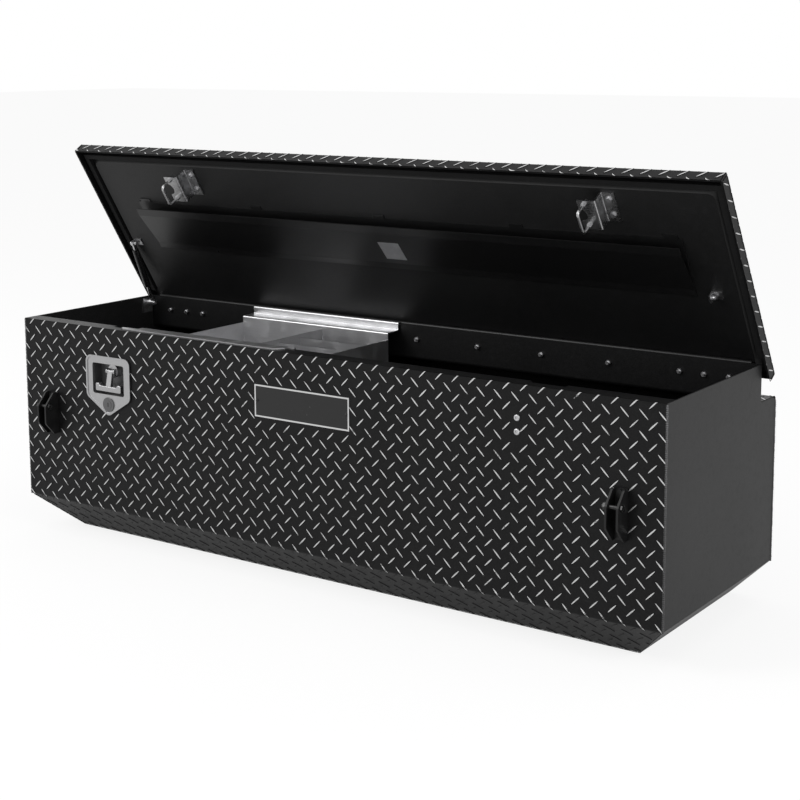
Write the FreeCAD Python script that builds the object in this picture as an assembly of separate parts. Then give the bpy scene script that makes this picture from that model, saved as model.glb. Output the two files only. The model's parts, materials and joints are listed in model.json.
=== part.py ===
import FreeCAD, Part
import math
import os

from FreeCAD import Vector

os.makedirs("parts", exist_ok=True)

# All lengths are millimetres. X runs along the box, Y from front to back, Z up.
# The origin is the centre of the bounding box, at its base. The lid is open.

# Box body
body_width = 1524.0
front_height = 390.0
body_depth = 467.0
upper_depth = 396.0
step_drop = 71.0
taper_drop = 78.0
taper_inset = 80.0
taper_setback = 81.0
sheet = 3.0
bend = 4.0
step_round = 9.0
seam_return = 22.0
rim_flange = 40.0
rim_lip = 12.0

# Lid
lid_open_deg = 58.0
lid_overhang_front = 20.0
lid_overhang_side = 10.0
lid_tail = 36.0
lid_sheet = 3.0
lid_flange = 26.0
lid_bend = 3.0
liner_sheet = 1.6
pan_depth = 8.0
pan_slope = 9.0
pan_margin_front = 36.0
pan_margin_side = 24.0
pan_margin_tail = 10.0
seal_width = 11.0
seal_overhang = 2.0

# Hinge
hinge_pin_radius = 2.5
hinge_knuckle_radius = 4.5
hinge_leaf = 2.0
hinge_leaf_drop = 50.0
hinge_leaf_reach = 27.0
hinge_from_end = 22.0
hinge_knuckles = 30
hinge_bolt_drop = 30.0
hinge_bolt_pitch = 150.0
hinge_end_pitch = 50.0
hinge_bolt_radius = 3.0
hinge_bolt_head_radius = 5.5
hinge_bolt_head = 4.0

# Latch set
latch_from_end = 250.0
latch_top_drop = 59.0
bezel_width = 126.0
latch_seam_margin = 12.0
bezel_shoulder = 88.0
bezel_height = 127.0
bezel_corner = 15.0
bezel_sheet = 1.5
gasket_sheet = 1.5
pan_half_width = 45.0
pan_top = 16.0
pan_bottom = 81.0
dish_depth = 28.0
hub_drop = 33.0
hub_radius = 14.0
spindle_radius = 6.0
handle_half_bar = 36.0
handle_bar = 12.0
handle_bar_depth = 9.0
handle_reach = 36.0
handle_stand = 2.0
handle_pin_radius = 2.0
key_drop = 102.0
barrel_radius = 14.0
plug_radius = 9.0
cam_throw = 6.2
cam_radius = 12.0
cam_pin_radius = 2.5

# Rotary latches and their rod
striker_from_end = 260.0
rod_radius = 3.0
rod_drop = 110.0
rotor_radius = 17.0
rotor_sheet = 6.0
rotor_turn_deg = 70.0
rotor_beside_bar = 8.0
rotor_below_bar = 4.0
claw_clearance = 0.7
cheek_sheet = 3.5
latch_post = 30.0
latch_web = 3.0
rotor_pivot_radius = 3.0
pawl_pivot_radius = 3.0
pawl_width = 8.0
pawl_below_rotor = 12.0
dog_gap = 0.5
yoke_half_width = 9.0
yoke_arm = 33.0
latch_screw_from_end = 284.0
latch_screw_drop = 60.0
latch_screw_pitch = 25.0
latch_screw_radius = 2.5
latch_screw_head = 6.0
left_plate_drop = 68.0
left_plate_reach = 20.0
right_plate_drop = 97.0
right_plate_reach = 12.0
guide_sheet = 3.0
guide_foot = 18.0
guide_half_height = 10.0
guide_beyond_rod = 8.0
dog_length = 6.0
dog_half_width = 2.5
dog_rise = 7.0
yoke_sheet = 3.0
yoke_foot = 12.0

# Striker loops on the lid
loop_rod_radius = 3.0
loop_span = 46.0
loop_reach = 60.0
striker_plate = 3.0
striker_stand = 28.0
striker_base = 28.0
striker_length = 64.0
striker_shelf = 34.0
loop_from_web = 22.0
striker_from_front = 58.0
nut_radius = 5.0
nut_height = 5.0

# Nameplate, tie-down brackets
plate_width = 229.0
plate_height = 64.0
plate_sheet = 1.5
plate_drop = 102.0
rivet_radius = 3.0
tie_from_end = 81.0
tie_drop = 198.0
tie_height = 90.0
tie_reach = 36.0
tie_gap = 18.0
tie_sheet = 4.0
tie_bolt_radius = 4.0
tie_bolt_rise = 17.0
tie_bolt_reach = 26.0
tie_cut = 26.0
tie_screw_below = 30.0
tie_screw_above = 36.0
tie_screw_head_radius = 7.0
tie_screw_head = 3.5
tie_screw_tail = 9.0
tie_nut_radius = 6.5
tie_nut = 6.0

# Document pocket and label plate on the lid
pocket_from_end = 100.0
pocket_fold = 164.0
pocket_back = 280.0
pocket_lip = 18.0
pocket_front = 253.0
pocket_foot = 14.0
pocket_depth = 17.0
pocket_sheet = 1.6
pocket_tabs = 5
pocket_tab_width = 28.0
pocket_tab_reach = 8.0
pocket_end_margin = 22.0
label_size = 50.0
label_offset = 9.0
label_from_fold = 14.0
label_sheet = 0.6

# Gas spring
spring_from_end = 22.0
spring_low_y = 375.0
spring_low_drop = 14.0
spring_lid_arm = 160.0
spring_lid_drop = 8.0
spring_tube_radius = 7.5
spring_rod_radius = 3.5
spring_tube_length = 97.0
spring_stud_radius = 4.0
spring_eye = 6.5
spring_blade = 4.0
spring_upper_neck = 17.0
spring_lower_neck = 14.0
spring_rod_clear = 62.0
lid_stud_from_end = 69.0
lid_stud_arm = 155.0

# Sliding tray
tray_from_end = 321.0
tray_length = 396.0
tray_lip_reach = 48.0
tray_lip_short = 30.0
tray_sheet = 2.0
tray_shelf_drop = 16.0
tray_side_drop = 29.0
tray_divider_drop = 22.0
tray_depth = 112.0
tray_back_y = 351.0
tray_front_y = 71.0
tray_divider_from_left = 225.0
tray_divider_sheet = 1.5
tray_cross_drop = 30.0
tray_cross_places = (200.0, 270.0)
tray_rivet_radius = 1.6
tray_divider_foot = 16.0
tray_bend = 1.5

# Clearances
gap = 0.3
pin_clearance = 0.05

# Places worked out from the sizes above
rim_z = taper_drop + front_height
front_y = (tie_reach - body_depth) / 2
back_y = front_y + body_depth
upper_y = front_y + upper_depth
step_z = rim_z - step_drop
half = body_width / 2
hinge_length = body_width - 2 * hinge_from_end
latch_offset = half - latch_from_end
striker_offset = half - striker_from_end
latch_screw_offset = half - latch_screw_from_end
tie_offset = half - tie_from_end
pocket_half = half - pocket_from_end
spring_offset = half - spring_from_end
lid_stud_offset = half - lid_stud_from_end
tray_left = -half + tray_from_end
tray_right = tray_left + tray_length
tray_lip_left = tray_left - tray_lip_reach
tray_lip_right = tray_right - tray_lip_short
tray_divider_x = tray_left + tray_divider_from_left
hinge_y = upper_y + gap + hinge_leaf / 2 + hinge_knuckle_radius + 0.2
leaf_y = upper_y + gap
pan_z = rim_z + 3.7
hinge_z = pan_z - gap - hinge_knuckle_radius
lid_half = half + lid_overhang_side
lid_front_y = front_y - lid_overhang_front
lid_back_y = hinge_y + lid_tail
skin_z = pan_z + liner_sheet + pan_depth
latch_x = -latch_offset
latch_top_z = rim_z - latch_top_drop
bezel_y = front_y - gasket_sheet - bezel_sheet
hub_z = latch_top_z - hub_drop
key_z = latch_top_z - key_drop
rod_z = rim_z - rod_drop
loop_y = front_y + striker_from_front
rod_y = loop_y
loop_bar_z = pan_z - loop_reach + loop_rod_radius


def box(x0, x1, y0, y1, z0, z1):
    return Part.makeBox(x1 - x0, y1 - y0, z1 - z0, Vector(x0, y0, z0))


def rod(radius, start, along, length):
    return Part.makeCylinder(radius, length, Vector(*start), Vector(*along))


def place(axis, level, point):
    """Turn a flat point into space on the plane square to an axis."""
    u, v = point
    if axis == "X":
        return Vector(level, u, v)
    if axis == "Y":
        return Vector(u, level, v)
    return Vector(u, v, level)


def outline(points, axis, level):
    """Closed wire through (u, v) or (u, v, radius) points, rounded where a radius is given."""
    corners = [(Vector(p[0], p[1], 0), p[2] if len(p) > 2 else 0.0) for p in points]
    arcs = []
    for i, (corner, radius) in enumerate(corners):
        before = (corners[i - 1][0] - corner).normalize()
        after = (corners[(i + 1) % len(corners)][0] - corner).normalize()
        spread = before.getAngle(after)
        if radius <= 0 or abs(spread - math.pi) < 1e-4:
            arcs.append((corner, None, corner))
            continue
        reach = radius / math.tan(spread / 2)
        middle = (before + after).normalize()
        centre = corner + middle * (radius / math.sin(spread / 2))
        arcs.append((corner + before * reach, centre - middle * radius, corner + after * reach))
    edges = []
    for i, (start, through, end) in enumerate(arcs):
        lift = [place(axis, level, (p.x, p.y)) for p in (start, end)]
        if through is not None:
            edges.append(Part.Arc(lift[0], place(axis, level, (through.x, through.y)), lift[1]).toShape())
        following = arcs[(i + 1) % len(arcs)][0]
        if (following - end).Length > 1e-6:
            edges.append(Part.LineSegment(lift[1], place(axis, level, (following.x, following.y))).toShape())
    return Part.Wire(edges)


def prism(points, axis, start, end):
    """Extrude an outline along an axis, from one level to another."""
    along = place(axis, end - start, (0, 0))
    return Part.Face(outline(points, axis, start)).extrude(along)


def folded(path, thickness, axis, start, end, inner=bend):
    """Bent sheet: an open path of points, thickened to its left, with real bend radii."""
    flat = [Vector(u, v, 0) for u, v in path]
    runs = [(b - a).normalize() for a, b in zip(flat, flat[1:])]
    sides = [Vector(-r.y, r.x, 0) for r in runs]
    near = [(flat[0].x, flat[0].y)]
    first = flat[0] + sides[0] * thickness
    far = [(first.x, first.y)]
    for i in range(1, len(flat) - 1):
        mitre = (sides[i - 1] + sides[i]).normalize()
        stretch = thickness / mitre.dot(sides[i])
        offset = flat[i] + mitre * stretch
        left_turn = runs[i - 1].x * runs[i].y - runs[i - 1].y * runs[i].x > 0
        near.append((flat[i].x, flat[i].y, inner + thickness if left_turn else inner))
        far.append((offset.x, offset.y, inner if left_turn else inner + thickness))
    near.append((flat[-1].x, flat[-1].y))
    last = flat[-1] + sides[-1] * thickness
    far.append((last.x, last.y))
    return prism(near + far[::-1], axis, start, end)


def hexagon(radius, axis, centre, height):
    """Hexagonal head or nut, from its centre point along +axis (negative height goes back)."""
    u, v = {"X": (centre[1], centre[2]), "Y": (centre[0], centre[2]), "Z": (centre[0], centre[1])}[axis]
    level = {"X": centre[0], "Y": centre[1], "Z": centre[2]}[axis]
    ring = [(u + radius * math.cos(k * math.pi / 3), v + radius * math.sin(k * math.pi / 3)) for k in range(6)]
    return prism(ring, axis, level, level + height)


def open_lid(shape):
    """Swing a shape drawn on the closed lid up to the open stop."""
    turned = shape.copy()
    turned.rotate(Vector(0, hinge_y, hinge_z), Vector(1, 0, 0), -lid_open_deg)
    return turned


def save(node, shape):
    whole = Part.makeCompound(shape) if isinstance(shape, list) else shape
    whole.exportStep("parts/" + node + ".step")


# Box body: nested solids whose differences are the sheets


def end_profile(inset, floor):
    """Section across the box, square to Y: upright ends with tapered lower corners."""
    lean = taper_inset / taper_drop
    shift = inset * math.sqrt(1 + lean * lean)
    fold = taper_drop + (inset * (math.sqrt(1 + lean * lean) - 1)) / lean
    foot = half - lean * (taper_drop - floor) - shift
    side = half - inset
    return [(-foot, floor), (foot, floor), (side, fold), (side, rim_z), (-side, rim_z), (-side, fold)]


def side_profile(inset):
    """Section along the box, square to X: tapered front foot and a step at the back."""
    lean = taper_setback / taper_drop
    shift = inset * math.sqrt(1 + lean * lean)
    fold = taper_drop + (inset * (math.sqrt(1 + lean * lean) - 1)) / lean
    foot = front_y + lean * (taper_drop - inset) + shift
    outside = bend + sheet - inset
    return [
        (foot, inset, outside),
        (back_y - inset, inset, outside),
        (back_y - inset, step_z - inset, step_round - inset),
        (upper_y - inset, step_z - inset, bend + inset),
        (upper_y - inset, rim_z),
        (front_y + inset, rim_z),
        (front_y + inset, fold, outside),
    ]


def body_block(ends, inset):
    """Solid body, inset at its ends and, by another amount, on every other side."""
    across = prism(end_profile(ends, inset), "Y", front_y - 1, back_y + 1)
    along = prism(side_profile(inset), "X", -half - 1, half + 1)
    return across.common(along)


outer = body_block(0, 0)
without_ends = body_block(sheet, 0)
wrap = without_ends.cut(body_block(sheet, sheet))
front_seam_y = front_y + taper_setback + seam_return
back_seam_y = back_y - seam_return
step_seam_z = step_z - seam_return


def wrap_part(y0, y1, z0, z1):
    """Part of the wrapped sheet between two seams."""
    return wrap.common(box(-half, half, y0, y1, z0, z1))


def end_panels():
    pair = outer.cut(without_ends).Solids
    left = min(pair, key=lambda s: s.CenterOfMass.x)
    right = max(pair, key=lambda s: s.CenterOfMass.x)
    return left, right


def pentagon(margin, axis_level, depth, corner=bezel_corner):
    """Latch outline: square shoulders and a foot that comes to a rounded point."""
    wide = bezel_width / 2 - margin
    top = latch_top_z - margin
    shoulder = latch_top_z - bezel_shoulder + margin * 0.4
    point = latch_top_z - bezel_height + margin * 1.3
    ring = [
        (latch_x - wide, top, corner),
        (latch_x - wide, shoulder, corner),
        (latch_x, point, corner),
        (latch_x + wide, shoulder, corner),
        (latch_x + wide, top, corner),
    ]
    return prism(ring, "Y", axis_level, axis_level + depth)


def pan_ring(grow):
    """Outline of the sunken square of the latch dish, grown by a margin."""
    x0 = latch_x - pan_half_width - grow
    x1 = latch_x + pan_half_width + grow
    z0 = latch_top_z - pan_bottom - grow
    z1 = latch_top_z - pan_top + grow
    corner = 5.0 + grow
    return [(x0, z0, corner), (x1, z0, corner), (x1, z1, corner), (x0, z1, corner)]


def front_panel():
    wall = wrap_part(front_y - 1, front_seam_y, -1, rim_z)
    inner = half - sheet
    path = [
        (front_y + sheet, rim_z),
        (front_y + rim_flange, rim_z),
        (front_y + rim_flange, rim_z - rim_lip),
    ]
    rim = folded([path[2], path[1], path[0]], sheet, "X", -inner, inner, bend / 2)
    wall = wall.fuse(rim).removeSplitter()
    for side in (-1, 1):
        x = side * striker_offset
        x0 = x - loop_rod_radius - 14.0
        x1 = x + loop_from_web + striker_base + 7.0
        wall = wall.cut(box(x0, x1, striker_relief_y(), front_y + rim_flange + 1, rim_z - rim_lip - 1, rim_z + 1))
    wall = wall.cut(prism(pan_ring(bezel_sheet + gap), "Y", front_y - 1, front_y + sheet + 1))
    wall = wall.cut(rod(barrel_hole(), (latch_x, front_y - 1, key_z), (0, 1, 0), sheet + 2))
    for drop in latch_screw_drops():
        start = (latch_screw_offset, front_y - 1, rim_z - drop)
        wall = wall.cut(rod(latch_screw_radius + 0.25, start, (0, 1, 0), sheet + 2))
    for side in (-1, 1):
        for z in tie_screw_levels():
            start = (side * tie_offset, front_y - 1, z)
            wall = wall.cut(rod(tie_bolt_radius + 0.25, start, (0, 1, 0), sheet + 2))
    for x in name_rivets():
        wall = wall.cut(rod(rivet_radius / 2 + 0.1, (x, front_y - 1, rim_z - plate_drop), (0, 1, 0), sheet + 2))
    seam_x = latch_x + bezel_width / 2 + latch_seam_margin
    return [
        wall.common(box(x0, x1, front_y - 1, front_seam_y + 1, -1, rim_z + 1))
        for x0, x1 in ((-half - 1, seam_x), (seam_x, half + 1))
    ]


def back_lower_panel():
    return wrap_part(back_seam_y, back_y + 1, -1, step_seam_z)


def back_step_panel():
    wall = wrap_part(upper_y - sheet - 1, back_y + 1, step_seam_z, rim_z)
    for x in hinge_bolt_places():
        start = (x, upper_y - sheet - 1, rim_z - hinge_bolt_drop)
        wall = wall.cut(rod(hinge_bolt_radius + 0.25, start, (0, 1, 0), sheet + 2))
    return wall


def floor_panel():
    return wrap_part(front_seam_y, back_seam_y, -1, taper_drop)


# Hinge along the top of the back wall


def hinge_bolt_places():
    steps = int((hinge_length / 2 - 2.5 * hinge_end_pitch) // hinge_bolt_pitch)
    places = [k * hinge_bolt_pitch for k in range(-steps, steps + 1)]
    last = steps * hinge_bolt_pitch
    for k in (1, 2):
        places += [last + k * hinge_end_pitch, -last - k * hinge_end_pitch]
    return sorted(places)


def knuckle_spans(parity):
    """Start and end of every second knuckle along the hinge."""
    pitch = hinge_length / hinge_knuckles
    for k in range(parity, hinge_knuckles, 2):
        start = -hinge_length / 2 + k * pitch
        yield start + gap / 2, start + pitch - gap / 2


def hinge_leaf_plate(plate, parity):
    """Fuse a leaf's knuckles, clear the other leaf's knuckles and bore it for the pin."""
    leaf = plate
    for start, end in knuckle_spans(1 - parity):
        clear = rod(hinge_knuckle_radius + gap, (start - gap, hinge_y, hinge_z), (1, 0, 0), end - start + 2 * gap)
        leaf = leaf.cut(clear)
    tubes = [
        rod(hinge_knuckle_radius, (start, hinge_y, hinge_z), (1, 0, 0), end - start)
        for start, end in knuckle_spans(parity)
    ]
    leaf = leaf.multiFuse(tubes)
    bore = rod(
        hinge_pin_radius + pin_clearance,
        (-hinge_length / 2 - 1, hinge_y, hinge_z),
        (1, 0, 0),
        hinge_length + 2,
    )
    return leaf.cut(bore)


def hinge_fixed_leaf():
    reach = hinge_length / 2
    plate = box(-reach, reach, leaf_y, leaf_y + hinge_leaf, rim_z - hinge_leaf_drop, hinge_z)
    leaf = hinge_leaf_plate(plate, 0)
    for x in hinge_bolt_places():
        start = (x, leaf_y - 1, rim_z - hinge_bolt_drop)
        leaf = leaf.cut(rod(hinge_bolt_radius + 0.25, start, (0, 1, 0), hinge_leaf + 2))
    return leaf


def hinge_lid_leaf():
    reach = hinge_length / 2
    top = hinge_z + hinge_knuckle_radius
    plate = box(-reach, reach, hinge_y, hinge_y + hinge_leaf_reach, top - hinge_leaf, top)
    leaf = hinge_leaf_plate(plate, 1)
    for x in hinge_bolt_places():
        start = (x, hinge_y + hinge_leaf_reach * 0.62, top - hinge_leaf - 1)
        leaf = leaf.cut(rod(hinge_bolt_radius + 0.1, start, (0, 0, 1), hinge_leaf + 2))
    return open_lid(leaf)


def hinge_pin():
    return rod(hinge_pin_radius, (-hinge_length / 2, hinge_y, hinge_z), (1, 0, 0), hinge_length)


def hinge_wall_bolts():
    """Bolt heads outside the hinge leaf, shanks through the wall, nuts inside the box."""
    bolts = []
    inner = upper_y - sheet
    for x in hinge_bolt_places():
        z = rim_z - hinge_bolt_drop
        head = rod(hinge_bolt_head_radius, (x, leaf_y + hinge_leaf, z), (0, 1, 0), hinge_bolt_head * 0.7)
        nut = hexagon(hinge_bolt_head_radius, "Y", (x, inner, z), -hinge_bolt_head)
        end = inner - hinge_bolt_head - 4
        shank = rod(hinge_bolt_radius, (x, end, z), (0, 1, 0), leaf_y + hinge_leaf - end)
        bolts.append(head.fuse(shank).fuse(nut))
    return bolts


def hinge_lid_rivets():
    """Rivets that clamp the lid leaf to the liner pan."""
    top = hinge_z + hinge_knuckle_radius
    rivets = []
    for x in hinge_bolt_places():
        y = hinge_y + hinge_leaf_reach * 0.62
        shank = rod(hinge_bolt_radius, (x, y, top - hinge_leaf), (0, 0, 1), hinge_leaf + gap + liner_sheet)
        head = rod(hinge_bolt_radius * 2, (x, y, top - hinge_leaf - 1.2), (0, 0, 1), 1.2)
        tail = rod(hinge_bolt_radius * 1.4, (x, y, pan_z + liner_sheet), (0, 0, 1), 1.5)
        rivets.append(open_lid(shank.fuse(head).fuse(tail)))
    return rivets


# Lid


def lid_skin():
    """Top sheet folded down on four sides; the back fold is shallower and its corners are clipped."""
    top = skin_z + lid_sheet
    low = top - lid_flange
    shell = box(-lid_half, lid_half, lid_front_y, lid_back_y, low, top)
    edges = [e for e in shell.Edges if min(v.Z for v in e.Vertexes) > top - 0.01]
    shell = shell.makeFillet(lid_bend, edges)
    core = box(
        -lid_half + lid_sheet,
        lid_half - lid_sheet,
        lid_front_y + lid_sheet,
        lid_back_y - lid_sheet,
        low - 1,
        skin_z,
    )
    shell = shell.cut(core)
    clip = lid_flange * 0.35
    notch = prism(
        [
            (lid_back_y + 1, low - 1),
            (lid_back_y + 1, low + clip),
            (lid_back_y - lid_sheet, low + clip),
            (lid_back_y - lid_sheet - clip, low - 1),
        ],
        "X",
        -lid_half - 1,
        lid_half + 1,
    )
    return open_lid(shell.cut(notch))


def pan_limits():
    """Plan limits of the liner's raised pan."""
    return (
        -lid_half + lid_sheet + pan_margin_side,
        lid_half - lid_sheet - pan_margin_side,
        lid_front_y + lid_sheet + pan_margin_front,
        lid_back_y - lid_sheet - pan_margin_tail,
    )


def pan_solid(spread, low, high, corner):
    """Tapered block that widens upwards, for the outside or the inside of the pan."""
    x0, x1, y0, y1 = pan_limits()
    wires = []
    for level, grow in ((low, spread), (high, spread + pan_slope)):
        c = corner + grow
        ring = [(x0 - grow, y0 - grow, c), (x1 + grow, y0 - grow, c)]
        ring += [(x1 + grow, y1 + grow, c), (x0 - grow, y1 + grow, c)]
        wires.append(outline(ring, "Z", level))
    return Part.makeLoft(wires, True, True)


def lid_liner():
    """Inner sheet: a flat border against the skin and a raised pan with sloped sides."""
    border = box(
        -lid_half + lid_sheet + gap,
        lid_half - lid_sheet - gap,
        lid_front_y + lid_sheet + gap,
        lid_back_y - lid_sheet - gap,
        skin_z - liner_sheet,
        skin_z,
    )
    outer_pan = pan_solid(0, pan_z, skin_z - liner_sheet, 14.0)
    inner_pan = pan_solid(-liner_sheet, pan_z + liner_sheet, skin_z, 14.0)
    liner = border.fuse(outer_pan).cut(inner_pan)
    for x in hinge_bolt_places():
        start = (x, hinge_y + hinge_leaf_reach * 0.62, pan_z - 1)
        liner = liner.cut(rod(hinge_bolt_radius + 0.1, start, (0, 0, 1), liner_sheet + 2))
    return open_lid(liner)


def lid_seal():
    """Rubber strip around the liner's border, on the line of the box rim."""
    top = skin_z - liner_sheet
    low = rim_z + gap
    x_out = half + seal_overhang
    y0 = front_y - seal_overhang
    y1 = upper_y - sheet - 4.0
    wall = box(-x_out, x_out, y0, y1, low, top)
    core = box(-x_out + seal_width, x_out - seal_width, y0 + seal_width, y1 + 1, low - 1, top + 1)
    ring = wall.cut(core)
    return open_lid(ring.cut(pan_solid(gap, pan_z, top + 0.01, 14.0)))


# Striker loops


def striker_parts(side):
    """Bracket and loop for one rotary latch, drawn on the closed lid."""
    bar_x = side * striker_offset
    web_x = bar_x + loop_from_web
    y0 = loop_y - striker_length / 2
    y1 = loop_y + striker_length / 2
    shelf_z = pan_z - striker_stand
    path = [
        (web_x + striker_base, pan_z),
        (web_x, pan_z),
        (web_x, shelf_z),
        (web_x - striker_shelf, shelf_z),
    ]
    plate = folded(path, striker_plate, "Y", y0, y1, 2.0)
    arch = rod(striker_length * 0.22, (web_x - striker_shelf, loop_y, shelf_z - 10), (0, 0, 1), 20)
    plate = plate.cut(arch)
    legs = [loop_y - loop_span / 2, loop_y + loop_span / 2]
    for y in legs:
        plate = plate.cut(rod(loop_rod_radius + 0.2, (bar_x, y, shelf_z - 10), (0, 0, 1), 20))
    for y in striker_bolt_levels():
        start = (web_x + striker_base * 0.55, y, pan_z - 10)
        plate = plate.cut(rod(3.2, start, (0, 0, 1), 20))
    bar_z = loop_bar_z
    radius = 7.0
    top = shelf_z + nut_height + 7
    route = [
        Part.LineSegment(Vector(bar_x, legs[0], top), Vector(bar_x, legs[0], bar_z + radius)).toShape(),
        Part.Arc(
            Vector(bar_x, legs[0], bar_z + radius),
            Vector(bar_x, legs[0] + radius * (1 - math.sqrt(0.5)), bar_z + radius * (1 - math.sqrt(0.5))),
            Vector(bar_x, legs[0] + radius, bar_z),
        ).toShape(),
        Part.LineSegment(Vector(bar_x, legs[0] + radius, bar_z), Vector(bar_x, legs[1] - radius, bar_z)).toShape(),
        Part.Arc(
            Vector(bar_x, legs[1] - radius, bar_z),
            Vector(bar_x, legs[1] - radius * (1 - math.sqrt(0.5)), bar_z + radius * (1 - math.sqrt(0.5))),
            Vector(bar_x, legs[1], bar_z + radius),
        ).toShape(),
        Part.LineSegment(Vector(bar_x, legs[1], bar_z + radius), Vector(bar_x, legs[1], top)).toShape(),
    ]
    section = Part.Wire(Part.makeCircle(loop_rod_radius, Vector(bar_x, legs[0], top), Vector(0, 0, 1)))
    loop = Part.Wire(route).makePipeShell([section], True, False)
    nuts = []
    for y in legs:
        for level, height in ((shelf_z, nut_height), (shelf_z - striker_plate, -nut_height)):
            nut = hexagon(nut_radius, "Z", (bar_x, y, level), height)
            nuts.append(nut.cut(rod(loop_rod_radius, (bar_x, y, level - 10), (0, 0, 1), 20)))
    return plate, loop, nuts


def striker_bolt_levels():
    return loop_y - striker_length * 0.27, loop_y + striker_length * 0.27


def striker_bolts(side):
    """Two bolts that hold a striker bracket to the liner."""
    web_x = side * striker_offset + loop_from_web
    x = web_x + striker_base * 0.55
    bolts = []
    for y in striker_bolt_levels():
        head = hexagon(5.2, "Z", (x, y, pan_z - striker_plate), -4.0)
        washer = rod(6.5, (x, y, pan_z - striker_plate - 1.0), (0, 0, 1), 1.0)
        shank = rod(3.0, (x, y, pan_z - striker_plate), (0, 0, 1), striker_plate)
        bolts.append(open_lid(head.fuse(washer).fuse(shank)))
    return bolts


# Pocket and label on the lid


def pocket_point(from_hinge, depth):
    """Point in the lid's side section: distance from the hinge and depth below the pan."""
    return hinge_y - from_hinge, pan_z - depth


def lid_pocket():
    """Back plate with tabs on the liner, and a slanted front that ends in a lip."""
    back_y0, back_z = pocket_point(pocket_back, pocket_sheet + gap)
    back_y1, _ = pocket_point(pocket_fold - pocket_foot, pocket_sheet + gap)
    pocket = box(-pocket_half, pocket_half, back_y0, back_y1, back_z, back_z + pocket_sheet)
    path = [
        pocket_point(pocket_fold - pocket_foot, gap),
        pocket_point(pocket_fold, gap),
        pocket_point(pocket_front, pocket_depth),
        pocket_point(pocket_front + pocket_lip, pocket_depth),
    ]
    front = folded(path, pocket_sheet, "X", -pocket_half, pocket_half, 1.0)
    tabs = []
    wide = pocket_tab_width / 2
    for x in pocket_tab_places():
        tab = box(x - wide, x + wide, back_y0 - pocket_tab_reach, back_y0, back_z, back_z + pocket_sheet)
        tabs.append(tab)
    return open_lid(pocket.multiFuse([front] + tabs).removeSplitter())


def pocket_tab_places():
    first = -pocket_half + pocket_end_margin
    pitch = 2 * (pocket_half - pocket_end_margin) / (pocket_tabs - 1)
    return [first + k * pitch for k in range(pocket_tabs)]


def label_plate():
    """Plain square plate on the pocket's slanted front."""
    y0, z0 = pocket_point(pocket_fold, gap)
    y1, z1 = pocket_point(pocket_front, pocket_depth)
    along = Vector(y1 - y0, z1 - z0, 0).normalize()
    below = Vector(-along.y, along.x, 0)
    near = Vector(y0, z0, 0) + below * pocket_sheet + along * label_from_fold
    ring = [near, near + along * label_size]
    ring += [ring[1] + below * label_sheet, near + below * label_sheet]
    section = [(p.x, p.y) for p in ring]
    wide = label_size / 2
    return open_lid(prism(section, "X", label_offset - wide, label_offset + wide))


# Latch set in the front panel


def latch_dish():
    """Stainless surround with a raised edge and a sunken square pan."""
    plate = pentagon(0, bezel_y, bezel_sheet)
    edge = pentagon(0, bezel_y - 1.6, 1.6).cut(pentagon(4, bezel_y - 2, 3, bezel_corner - 3))
    shell = prism(pan_ring(bezel_sheet), "Y", bezel_y, bezel_y + dish_depth)
    core = prism(pan_ring(0), "Y", bezel_y - 5, bezel_y + dish_depth - bezel_sheet)
    dish = plate.fuse(edge).fuse(shell).cut(core)
    dish = dish.cut(rod(barrel_hole(), (latch_x, bezel_y - 5, key_z), (0, 1, 0), 20))
    bore = spindle_radius + pin_clearance
    return dish.cut(rod(bore, (latch_x, bezel_y, hub_z), (0, 1, 0), dish_depth + 5))


def latch_gasket():
    gasket = pentagon(1.5, front_y - gasket_sheet, gasket_sheet)
    gasket = gasket.cut(prism(pan_ring(bezel_sheet + gap), "Y", front_y - 5, front_y + 5))
    return gasket.cut(rod(barrel_hole(), (latch_x, front_y - 5, key_z), (0, 1, 0), 10))


def striker_relief_y():
    """Front edge of the clearance that the striker brackets need as the lid comes down."""
    return loop_y - striker_length / 2 - 2.5


def barrel_hole():
    """Radius of the hole for the lock body."""
    return barrel_radius - 1 + gap


def lock_barrel():
    """Fixed lock body: a ring on the face and a barrel behind it."""
    flange = rod(barrel_radius + 1.5, (latch_x, bezel_y - 2.0, key_z), (0, 1, 0), 2.0)
    body = rod(barrel_radius - 1, (latch_x, bezel_y - 2.0, key_z), (0, 1, 0), 26.0)
    bore = rod(plug_radius + pin_clearance, (latch_x, bezel_y - 3.0, key_z), (0, 1, 0), 30.0)
    return flange.fuse(body).cut(bore)


def key_plug():
    """Turning lock core with a key slot."""
    plug = rod(plug_radius, (latch_x, bezel_y - 2.4, key_z), (0, 1, 0), 28.0)
    slot = box(latch_x - 0.9, latch_x + 0.9, bezel_y - 5, bezel_y + 10, key_z - 4.5, key_z + 4.5)
    tail = box(latch_x - 3, latch_x + 3, bezel_y + 25.6, bezel_y + 28.6, key_z - 3, key_z + 15)
    return plug.cut(slot).fuse(tail)


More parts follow.
